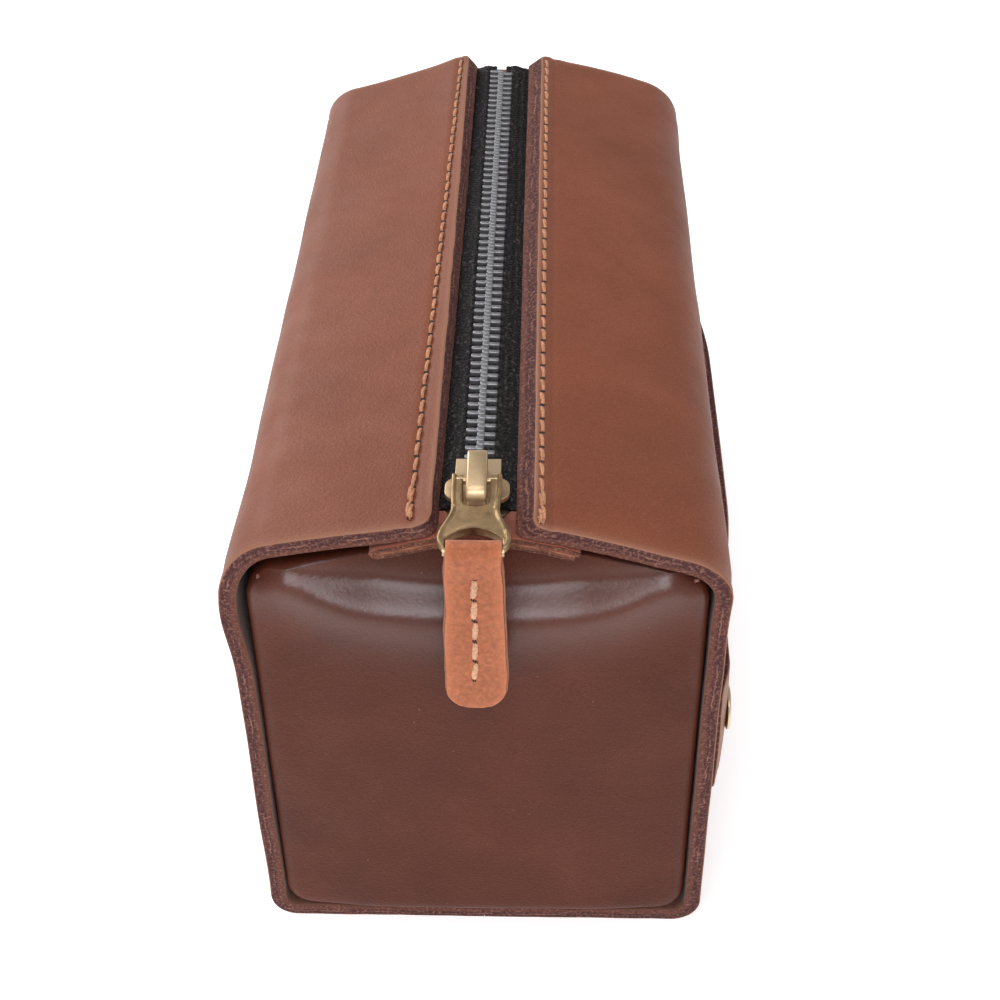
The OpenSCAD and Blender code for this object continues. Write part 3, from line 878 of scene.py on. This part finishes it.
def folded_tab(name, y_edge, y_inner, notch, drop, layer, gap, seed, curl):
    """A strip of leather folded flat at its left end, whose two layers lie under the lips."""
    right = TAB_HALF
    turn = layer / 2 + gap / 2
    left = -(right - turn - 0.4 * MM)
    path, normal = [], []
    xs = np.linspace(right, left, 44)

    def centre(x, level):
        slope = -np.sign(x) * SLOPE * (np.abs(x) > LIP_LOW_X)
        return np.array([x, under_roof(x) - drop - layer / 2 - level]), np.array([-slope, 1.0])

    for x in xs:
        p, n = centre(x, 0)
        path.append(p)
        normal.append(n / np.linalg.norm(n))
    hub = path[-1] - normal[-1] * turn
    out = np.array([-normal[-1][1], normal[-1][0]])
    for a in np.linspace(0, math.pi, 10)[1:-1]:
        n = normal[len(xs) - 1] * math.cos(a) + out * math.sin(a)
        normal.append(n)
        path.append(hub + n * turn + out * math.sin(a) * curl)
    for x in xs[::-1]:
        p, n = centre(x - 0.9 * MM * (x > 0) * x / right, 2 * turn)
        path.append(p)
        normal.append(-n / np.linalg.norm(n))
    path, normal = np.array(path), np.array(normal)
    rows = 9
    outer = np.zeros((len(path), rows, 3))
    inner = np.zeros_like(outer)
    for i, (p, n) in enumerate(zip(path, normal)):
        reach = y_inner
        if notch:
            near = smoothstep((6.4 * MM - abs(p[0])) / (0.5 * MM))
            deep = smoothstep((5.3 * MM - abs(p[0])) / (0.8 * MM))
            reach = y_inner + (notch - y_inner) * (0.45 * near + 0.55 * deep)
        ragged = 0.35 * MM * noise.noise(Vector((p[0] * 260, seed, n[1])))
        ys = np.linspace(y_edge + ragged, reach, rows)
        for k, y in enumerate(ys):
            outer[i, k] = (p[0] + n[0] * layer / 2, y, p[1] + n[1] * layer / 2)
            inner[i, k] = (p[0] - n[0] * layer / 2, y, p[1] - n[1] * layer / 2)
    flip = y_inner > y_edge
    return slab(name, outer, inner, [tab_leather_painted_shade, tab_edge_painted_shade, trim_flesh], edge=0.3 * MM,
                bulge=0.15 * MM, fuzz=0.28 * MM, seed=seed, flip=not flip)


front_tab = folded_tab("front_tab_leather", -HALF_L + 0.1 * MM, -HALF_L + 8.8 * MM, -HALF_L + 4.9 * MM,
                       0.2 * MM, 1.5 * MM, 0.06 * MM, 5.0, 0.7 * MM)
finish_piece(front_tab, "trim_leather", "front_zip_tab", body="bag")
rear_tab = folded_tab("rear_tab_leather", HALF_L + 1.6 * MM, HALF_L - 7.8 * MM, None,
                      1.15 * MM, 1.4 * MM, 0.15 * MM, 8.0, 0.4 * MM)
finish_piece(rear_tab, "trim_leather", "rear_zip_tab", body="bag")

# ---- zip ----

TAPE_IN = 1.3 * MM
TAPE_CREST = 4.9 * MM
TAPE_T = 0.8 * MM
TAPE_OUT = 21 * MM
TAPE_FRONT, TAPE_REAR = tape_low.y, tape_high.y
WEAVE_W = 1.5 * MM
WEAVE_PITCH = 1.2 * MM


def tape(name, side):
    """Herringbone tape: a thick band beside the teeth, then woven columns that slant to and fro."""
    seen = np.arange(TAPE_IN, LIP_LOW_X + 2.4 * MM, 0.23 * MM)
    xs = np.concatenate([seen, np.linspace(seen[-1] + 1 * MM, TAPE_OUT, 8)])
    ys = np.arange(TAPE_FRONT, TAPE_REAR, 0.31 * MM)
    x, y = np.meshgrid(xs, ys, indexing="ij")
    crest = TAPE_Z + TAPE_T / 2
    flat = (x - TAPE_CREST) / (LIP_LOW_X - TAPE_CREST)
    level = np.where(x < TAPE_CREST, crest, np.where(x < LIP_LOW_X,
                     crest + (LIP_LOW_Z - 0.05 * MM - crest) * flat, under_roof(x) - 0.05 * MM))
    column = np.floor(x / WEAVE_W)
    inside = x / WEAVE_W - column
    slant = np.where(column % 2 == 0, inside, -inside)
    threads = 0.5 + 0.5 * np.cos(2 * math.pi * (y / WEAVE_PITCH + slant))
    weave = 0.3 * MM * threads * np.sin(math.pi * np.clip(inside, 0.06, 0.94)) ** 0.6
    cord = 0.25 * MM * bell((x - 3.6 * MM) / (0.9 * MM))
    hidden = x > LIP_LOW_X + 1.2 * MM
    top = level + np.where(hidden, 0, weave + cord - 0.3 * MM)
    outer = np.stack([side * x, y, top], -1)
    inner = np.stack([side * x, y, level - TAPE_T], -1)
    return slab(name, outer, inner, [zip_tape_cloth] * 3, edge=0.1 * MM, bulge=0.02 * MM,
                fuzz=0.03 * MM, seed=11 + side, flip=side < 0)


def rounded_box(low, high, r, bevel=2):
    """Vertices and faces of a box with rounded edges."""
    b = bmesh.new()
    bmesh.ops.create_cube(b, size=1)
    for v in b.verts:
        v.co = Vector([lo + (hi - lo) * (c + 0.5) for c, lo, hi in zip(v.co, low, high)])
    bmesh.ops.bevel(b, geom=b.edges[:], offset=r, segments=bevel, profile=0.5, affect="EDGES")
    b.verts.ensure_lookup_table()
    b.verts.index_update()
    verts = np.array([v.co[:] for v in b.verts])
    faces = [tuple(v.index for v in f.verts) for f in b.faces]
    b.free()
    return verts, faces


TOOTH_PITCH = 3.1 * MM
TOOTH_T = 2.8 * MM
CHAIN_HALF = 3.2 * MM


def teeth(name, side):
    first = PIVOT.y + 0.1 * MM + (TOOTH_PITCH / 2 if side > 0 else 0)
    last = HALF_L - 1.5 * MM
    leg = rounded_box((0.55 * MM, -0.6 * MM, -TOOTH_T / 2), (CHAIN_HALF, 0.6 * MM, TOOTH_T / 2), 0.28 * MM)
    head = rounded_box((-0.8 * MM, -0.7 * MM, -TOOTH_T / 2 + 0.1 * MM),
                       (0.95 * MM, 0.7 * MM, TOOTH_T / 2 + 0.08 * MM), 0.26 * MM)
    pile = Pile()
    y = first
    while y + TOOTH_PITCH * 0.99 < last:
        for verts, faces in (leg, head):
            placed = verts * (side, 1, 1) + (0, y, TAPE_Z)
            pile.add(placed, faces if side > 0 else [f[::-1] for f in faces])
        y += TOOTH_PITCH
    return pile.make(name, [teeth_metal], sharp=50)


for side_name, side in SIDES:
    woven = tape("tape_" + side_name + "_woven", side)
    open_with(woven)
    finish_piece(woven, "zip_tape", "zip_tape_" + side_name)
    row = teeth("teeth_" + side_name + "_row", side)
    open_with(row)
    finish_piece(row, "zip_teeth", "zip_teeth_" + side_name)

# ---- slider and pull ----

finish_piece(copy_node("slider_plates", "slider_body", brass, 0.28 * MM), "antique_brass", "slider_body",
             body="slider")
finish_piece(copy_node("slider_crown_arch", "slider_crown", brass, 0.45 * MM, 3), "antique_brass",
             "slider_crown", body="slider")

PULL_L = (Vector(BAR) - Vector(PIVOT)).length
PULL_TILT = math.asin((PIVOT.z - BAR.z) / PULL_L)
PULL_T = 1.4 * MM
EYE_HALF = 5.6 * MM
SLOT_HALF = 2.7 * MM
SLOT_END = 8.5 * MM
SLOT_ROUND = 2.0 * MM
ARCH_TOP = PULL_L - 5.6 * MM
ARCH_RISE = 2.8 * MM
BAR_R = 0.85 * MM


def pull_half(s):
    """Half width at distance s from the pivot; the ring's arms close round the strap."""
    close = min(1.0, max(0.0, (s - PULL_L + 1.8 * MM) / (2.2 * MM)))
    width = (5.1 * MM - 0.25 * MM * smoothstep((s - 3 * MM) / (6 * MM))
             + 2.35 * MM * smoothstep((s - 9 * MM) / (8.5 * MM))
             - 1.2 * MM * smoothstep((s - 18 * MM) / (3.6 * MM))
             - 1.2 * MM * (1 - math.sqrt(1 - close ** 2)))
    return max(width, pull_inner(s) + 0.15 * MM)


def pull_inner(s):
    """Half width of the slot or of the eye at distance s from the pivot, 0 where the pull is solid."""
    if s < SLOT_END:
        t = max(0, (s - SLOT_END + SLOT_ROUND) / SLOT_ROUND)
        return SLOT_HALF - SLOT_ROUND + SLOT_ROUND * math.sqrt(max(0, 1 - t * t)) if t < 1 else 0
    if s > ARCH_TOP:
        return min(1, math.sqrt((s - ARCH_TOP) / ARCH_RISE)) * EYE_HALF
    return 0.0


def pull_tab():
    """Flat pull with a raised border along both edges and round the eye."""
    marks = np.concatenate([
        np.linspace(-BAR_R, SLOT_END - SLOT_ROUND, 10)[:-1],
        SLOT_END - SLOT_ROUND * (1 - np.sin(np.linspace(0, math.pi / 2, 8)))[:-1],
        [SLOT_END - 0.01 * MM, SLOT_END + 0.15 * MM],
        np.linspace(SLOT_END + 0.6 * MM, ARCH_TOP - 0.3 * MM, 12),
        ARCH_TOP + ARCH_RISE * np.linspace(0, 1, 12) ** 2,
        np.linspace(ARCH_TOP + ARCH_RISE + 0.5 * MM, PULL_L + 0.3 * MM, 8)])
    across = np.array([0, 0.05, 0.12, 0.22, 0.34, 0.46, 0.55, 0.62, 0.68, 0.73, 0.78, 0.83, 0.89,
                       0.94, 0.98, 1.0])
    pile = Pile()
    loops = []
    for s in marks:
        inner, outer = pull_inner(s), pull_half(s)
        if s >= SLOT_END and s < SLOT_END + 0.1 * MM:
            inner = 0
        x = inner + (outer - inner) * across
        from_edge = outer - x
        from_hole = x - inner if inner > 0 else np.full_like(x, 9 * MM)
        from_arch = np.maximum(0, (ARCH_TOP + ARCH_RISE * np.minimum(1, (x / EYE_HALF)) ** 2 - s))
        border = smoothstep((1.0 * MM - from_edge) / (0.2 * MM)) * 0.42 * MM
        border -= 0.16 * MM * bell((from_edge - 1.2 * MM) / (0.16 * MM)) * (s > 3 * MM)
        rim = smoothstep((0.9 * MM - from_arch) / (0.3 * MM)) * 0.32 * MM * (s > SLOT_END)
        dome = 0.18 * MM * np.cos(math.pi / 2 * np.clip(x / outer, 0, 1))
        round_out = 0.35 * MM * roll(from_edge, 0.4 * MM)
        round_in = 0.3 * MM * roll(from_hole, 0.35 * MM) if inner > 0 else 0
        top = PULL_T / 2 + np.maximum(border, rim) + dome * (border < 0.05 * MM) - round_out - round_in
        low = -PULL_T / 2 + round_out + round_in
        loop = [(xx, -s, zz) for xx, zz in zip(x, top)]
        loop += [(xx, -s, zz) for xx, zz in zip(x[::-1], low[::-1])]
        loops.append((inner, np.array(loop)))
    n = len(across)
    turn = Matrix.Translation(PIVOT) @ Matrix.Rotation(PULL_TILT, 4, "X")
    spin = np.array(turn.to_3x3())
    for side in (1, -1):
        verts = np.concatenate([loop for _, loop in loops]) * (side, 1, 1)
        verts = verts @ spin.T + np.array(PIVOT)
        faces = []
        for k in range(len(loops) - 1):
            solid = loops[k][0] == 0 and loops[k + 1][0] == 0
            for j in range(2 * n):
                m = (j + 1) % (2 * n)
                if m == 0 and solid:
                    continue
                quad = (k * 2 * n + j, (k + 1) * 2 * n + j, (k + 1) * 2 * n + m, k * 2 * n + m)
                faces.append(quad if side < 0 else quad[::-1])
        for k in (0, len(loops) - 1):
            cap = []
            for j in range(n - 1):
                quad = (k * 2 * n + j, k * 2 * n + j + 1, (k + 1) * 2 * n - j - 2, (k + 1) * 2 * n - j - 1)
                cap.append(quad if (k == 0) == (side > 0) else quad[::-1])
            faces += cap
        pile.add(verts, faces)
    for s, half, r in ((0, 4.9 * MM, BAR_R), (PULL_L, EYE_HALF + 0.4 * MM, BAR_R)):
        ends = np.array([(x, -s, 0) for x in np.linspace(-half, half, 9)]) @ spin.T + np.array(PIVOT)
        pile.add(*tube(ends, r, sides=20))
    obj = pile.make("pull_plate", [brass], sharp=42)
    b = bmesh.new()
    b.from_mesh(obj.data)
    bmesh.ops.remove_doubles(b, verts=b.verts, dist=2e-6)
    b.to_mesh(obj.data)
    b.free()
    return obj


finish_piece(pull_tab(), "antique_brass", "pull_tab", body="metal_pull")

STRAP_LEN = BAR.z - strap_low.z
STRAP_HALF = 6.5 * MM
NECK_HALF = 5.45 * MM
STRAP_END_R = 4.6 * MM
STRAP_LAYER = 1.42 * MM


def strap_half(s):
    half = NECK_HALF + 0.6 * MM * smoothstep(s / (6 * MM))
    half += (STRAP_HALF - NECK_HALF - 0.6 * MM) * smoothstep((s - 5 * MM) / (26 * MM))
    t = max(0.0, (s - STRAP_LEN + STRAP_END_R) / STRAP_END_R)
    return half - STRAP_END_R * (1 - math.sqrt(max(0.0, 1 - min(1, t) ** 2))) * 0.94


def pull_strap():
    """Strip of tan leather folded round the bar, its two layers sewn together."""
    r = BAR_R + 0.12 * MM + STRAP_LAYER / 2
    down = np.concatenate([np.linspace(STRAP_LEN, STRAP_LEN - STRAP_END_R, 12)[:-1],
                           np.linspace(STRAP_LEN - STRAP_END_R, 3.5 * MM, 26)])
    path, normal, width = [], [], []

    def layer(s, front):
        pinch = smoothstep((s - 1.0 * MM) / (6 * MM))
        near = STRAP_LAYER / 2 + 0.04 * MM
        return -(near + (r - near) * (1 - pinch)) * front

    for s in down:
        path.append((layer(s, -1), -s))
        normal.append((1, 0))
        width.append(strap_half(s))
    for a in np.linspace(-0.1, math.pi + 0.1, 15):
        path.append((r * math.cos(a), r * math.sin(a)))
        normal.append((math.cos(a), math.sin(a)))
        width.append(NECK_HALF)
    for s in down[::-1]:
        path.append((layer(s, 1), -s + 0.6 * MM * smoothstep((s - 20 * MM) / (15 * MM))))
        normal.append((-1, 0))
        width.append(strap_half(s) - 0.3 * MM)
    path, normal = np.array(path), np.array(normal)
    cols = np.linspace(-1, 1, 15)
    outer = np.zeros((len(path), len(cols), 3))
    inner = np.zeros_like(outer)
    for i, (p, n, w) in enumerate(zip(path, normal, width)):
        for k, c in enumerate(cols):
            wobble = 0.45 * MM * noise.noise(Vector((p[1] * 110, c, 4))) * abs(c)
            bow = 0.35 * MM * (1 - c * c) * smoothstep((-p[1]) / (10 * MM))
            x = c * (w + wobble)
            thick = STRAP_LAYER / 2 + bow * (n[0] < -0.5)
            outer[i, k] = (x, BAR.y + p[0] + n[0] * thick, BAR.z + p[1] + n[1] * thick)
            inner[i, k] = (x, BAR.y + p[0] - n[0] * STRAP_LAYER / 2, BAR.z + p[1] - n[1] * STRAP_LAYER / 2)
    return slab("pull_strap_leather", outer, inner, [trim_leather, trim_edge, trim_flesh], edge=0.35 * MM,
                bulge=0.1 * MM, fuzz=0.1 * MM, seed=21)


finish_piece(pull_strap(), "trim_leather", "pull_strap", body="leather_pull")

# ---- stitching ----

THREAD_R = 0.43 * MM
THREAD_TWIST = 1.9 * MM               # length of thread for one turn of its two plies
HOLE_LENGTH = 0.5 * MM
HOLE_WIDTH = 0.42 * MM


def add_stitch(pile, a, b, normal, rise=0.34 * MM, radius=THREAD_R, hole=True):
    """A twisted thread from hole a to hole b, with the shadow of each hole."""
    a, b, normal = np.asarray(a, float), np.asarray(b, float), np.asarray(normal, float)
    t = np.linspace(0, 1, 9)
    arch = np.sin(math.pi * t) ** 0.55
    path = a + np.outer(t, b - a) + np.outer(arch * rise - (1 - arch) * 0.45 * MM, normal)
    sway = np.cross(normal, b - a)
    sway /= np.linalg.norm(sway)
    path += np.outer(np.sin(math.pi * t) * random.uniform(-0.12, 0.12) * MM, sway)
    size = radius * (0.82 + 0.28 * np.sin(math.pi * t)) * random.uniform(0.93, 1.08)
    pile.add(*tube(path, size, 8, 2, THREAD_TWIST, flat=0.85, up=normal))
    if hole:
        along = (b - a) / np.linalg.norm(b - a)
        for end, way in ((a, -1), (b, 1)):
            add_hole(pile, end + along * way * 0.25 * MM, normal, along)


def add_hole(pile, at, normal, along):
    """A small dark pit, seen as a shallow dish just above the leather."""
    across = np.cross(normal, along)
    verts = [at + normal * 0.03 * MM]
    for a in np.linspace(0, 2 * math.pi, 11)[:-1]:
        verts.append(at + along * math.cos(a) * HOLE_LENGTH * 0.8 + across * math.sin(a) * HOLE_WIDTH
                     + normal * 0.06 * MM)
    faces = [(0, 1 + j, 1 + (j + 1) % 10) for j in range(10)]
    pile.add(np.array(verts), faces, 1)


def add_tuft(pile, at, normal, along, count=7, size=1.3 * MM):
    """Loose ends of thread where a seam was backstitched."""
    across = np.cross(normal, along)
    for _ in range(count):
        u, w = random.uniform(-1, 1), random.uniform(-1, 1)
        a = at + along * u * size + across * w * size * 0.45
        b = at + along * -u * size * 0.7 + across * random.uniform(-0.6, 0.6) * size + normal * 0.2 * MM
        mid = (a + b) / 2 + normal * random.uniform(0.2, 0.6) * MM
        t = np.linspace(0, 1, 6)[:, None]
        path = (1 - t) ** 2 * a + 2 * t * (1 - t) * mid + t ** 2 * b
        pile.add(*tube(path, 0.17 * MM, 6, up=normal))


def lip_stitches(name, side):
    pile = Pile()
    up = np.array([side * math.sin(ROOF), 0, math.cos(ROOF)])
    start = (1.4 if side > 0 else 2.6) * MM
    count = 42 if side > 0 else 41
    pitch = (2 * HALF_L - start - 3 * MM) / count
    ys = [-HALF_L + start + k * pitch for k in range(count + 1)]
    for k in range(count):
        y0, y1 = ys[k] + 0.35 * MM, ys[k + 1] - 0.35 * MM
        skew = 0.22 * MM
        a = roof_point(stitch_x(y0, side) + skew, y0, side, -0.12 * MM)
        b = roof_point(stitch_x(y1, side) - skew, y1, side, -0.12 * MM)
        add_stitch(pile, a, b, up)
        if k < 2:
            shift = np.array([side * 0.45 * MM, 0.8 * MM, 0.1 * MM])
            add_stitch(pile, a + shift, b + shift, up, hole=False)
    first = roof_point(stitch_x(ys[0], side), ys[0] + 0.8 * MM, side)
    add_tuft(pile, first, up, np.array([0.0, 1, 0]), 9)
    return pile.make(name, [thread, hole_shadow])


for side_name, side in SIDES:
    obj = lip_stitches("lip_stitches_" + side_name, side)
    open_with(obj)
    finish_piece(obj, "thread", "zip_stitches_" + side_name)

SEAM_PITCH = 5 * MM


def wall_seam(pile, side, z0, z1):
    count = int((z1 - z0) / SEAM_PITCH)
    for end in (-1, 1):
        y = end * (HALF_L - SEAM_IN)
        for k in range(count):
            low, high = z0 + k * SEAM_PITCH + 0.3 * MM, z0 + (k + 1) * SEAM_PITCH - 0.3 * MM
            x = side * (HALF_W - 0.45 * MM)
            add_stitch(pile, (x, y - 0.15 * MM, low), (x, y + 0.15 * MM, high), (side, 0, 0), 0.2 * MM)


base_pile = Pile()
for side in (-1, 1):
    wall_seam(base_pile, side, BASE_R + 1 * MM, FOLD_Z)
for end in (-1, 1):
    y = end * (HALF_L - SEAM_IN)
    for k in range(-8, 8):
        a = np.array([k * SEAM_PITCH + 0.4 * MM, y, 0.75 * MM])
        b = a + (SEAM_PITCH - 0.8 * MM, 0, 0)
        path = a + np.outer(np.linspace(0, 1, 5), b - a)
        base_pile.add(*tube(path, 0.36 * MM, 8, 2, THREAD_TWIST, up=(0, 0, 1)))
base_seam = base_pile.make("seam_stitches_low", [thread, hole_shadow])
finish_piece(base_seam, "thread", "seam_stitches_base", body="bag")
for side_name, side in SIDES:
    pile = Pile()
    wall_seam(pile, side, FOLD_Z + 2 * MM, CORNER_Z - TOP_R)
    seam = pile.make("seam_stitches_" + side_name + "_wall", [thread, hole_shadow])
    open_with(seam)
    finish_piece(seam, "thread", "seam_stitches_" + side_name)

pile = Pile()
for end in (-1, 1):
    for side in (-1, 1):
        at = np.array([side * 44.5 * MM, end * (HALF_L + 0.1 * MM), 111.2 * MM])
        add_tuft(pile, at, np.array([0.0, end, 0]), np.array([0.7, 0, 0.7]), 6, 0.7 * MM)
# The corner knots take the darkened knot thread, which is a painted shade.
finish_piece(pile.make("corner_knots", [knot_thread_painted_shade, hole_shadow]), "thread", "corner_tacks", body="bag")

pile = Pile()
strap_y = BAR.y - STRAP_LAYER - 0.04 * MM - 0.36 * MM
for k in range(5):
    z = BAR.z - 5.8 * MM - 5.6 * MM * k
    a = np.array([random.uniform(0, 0.3) * MM, strap_y + 0.05 * MM, z])
    b = np.array([random.uniform(-0.3, 0) * MM, strap_y + 0.05 * MM, z - 4.7 * MM])
    add_stitch(pile, a, b, (0, -1, 0), 0.2 * MM, 0.62 * MM)
finish_piece(pile.make("strap_stitches", [pale_thread, hole_shadow]), "thread", "pull_strap_stitches",
             body="leather_pull")

# ---- carrying strap and rivets ----

HANDLE_T = 3.6 * MM
HANDLE_GAP = 3.2 * MM
HANDLE_REACH = handle_high.y


def strap_gap(y):
    rise = (RIVET_Y - 10 * MM - abs(y)) / (45 * MM)
    return 0.08 * MM + HANDLE_GAP * float(smoothstep(rise))


def handle():
    ys = np.linspace(-HANDLE_REACH, HANDLE_REACH, 96)
    zs = np.linspace(-1, 1, 17)
    half = (handle_high.z - handle_low.z) / 2
    middle = (handle_high.z + handle_low.z) / 2
    outer = np.zeros((len(ys), len(zs), 3))
    inner = np.zeros_like(outer)
    for i, y in enumerate(ys):
        end = max(0.0, 1 - (HANDLE_REACH - abs(y)) / (4 * MM))
        width = half - 4 * MM * (1 - math.sqrt(max(0.0, 1 - end * end))) * 0.95
        for k, c in enumerate(zs):
            z = middle + c * (width + 0.2 * MM * noise.noise(Vector((y * 40, c, 2))))
            wall = WALL_BOW * MM * (1 - (y / HALF_L) ** 2) * math.sin(math.pi * z / CORNER_Z)
            x = HALF_W + strap_gap(y) + wall
            bow = 0.25 * MM * (1 - c * c)
            pared = smoothstep((HANDLE_REACH - abs(y)) / (13 * MM))
            outer[i, k] = (x + 1.2 * MM + (HANDLE_T - 1.3 * MM) * pared + bow, y, z)
            inner[i, k] = (x, y, z)
    return slab("handle_leather_strap", outer, inner, [handle_leather, wrap_edge, wrap_flesh],
                edge=0.5 * MM, bulge=0.12 * MM, fuzz=0.12 * MM, seed=31)


strap = handle()
open_with(strap)
finish_piece(strap, "handle_leather", "handle_strap")


def lathe(profile, at, sides=40):
    """Vertices and faces of a profile (radius, height along +X) turned about the X direction through at."""
    verts = []
    for r, h in profile:
        for j in range(sides):
            a = 2 * math.pi * j / sides
            verts.append((at[0] + h, at[1] + r * math.cos(a), at[2] + r * math.sin(a)))
    faces = band_faces(len(profile), sides)
    faces.append(tuple(range(sides))[::-1])
    faces.append(tuple((len(profile) - 1) * sides + j for j in range(sides)))
    return verts, faces


CAP_R = (cap_high.z - cap_low.z) / 2
caps = Pile()
for end in (-1, 1):
    y = end * RIVET_Y
    bow = WALL_BOW * MM * (1 - (RIVET_Y / HALF_L) ** 2)
    at = (cap_low.x + bow, y, RIVET_Z)
    dome = [(CAP_R * 0.9, 0.0), (CAP_R, 0.15 * MM), (CAP_R, 0.5 * MM), (CAP_R * 0.97, 0.72 * MM),
            (CAP_R * 0.9, 0.84 * MM), (CAP_R * 0.82, 0.8 * MM), (CAP_R * 0.77, 0.66 * MM)]
    dome += [(CAP_R * 0.74 * math.cos(a), 0.66 * MM + 0.55 * MM * math.sin(a))
             for a in np.linspace(0.05, 1.5, 9)]
    caps.add(*lathe(dome, at))
cap_piece = caps.make("rivet_domes", [rivet_brass], sharp=60)
open_with(cap_piece, rigid_at_rivets=True)
finish_piece(cap_piece, "rivet_brass", "handle_rivet_caps")
for part in ("posts", "washers"):
    piece = copy_node("rivet_" + part + "_turned", "handle_rivet_" + part, rivet_brass, 0.15 * MM)
    open_with(piece, rigid_at_rivets=True)
    finish_piece(piece, "rivet_brass", "handle_rivet_" + part)

spring = frame["nodes"]["lock_spring"]
spring.data.materials.clear()
spring.data.materials.append(teeth_metal)

make_camera()
make_studio()
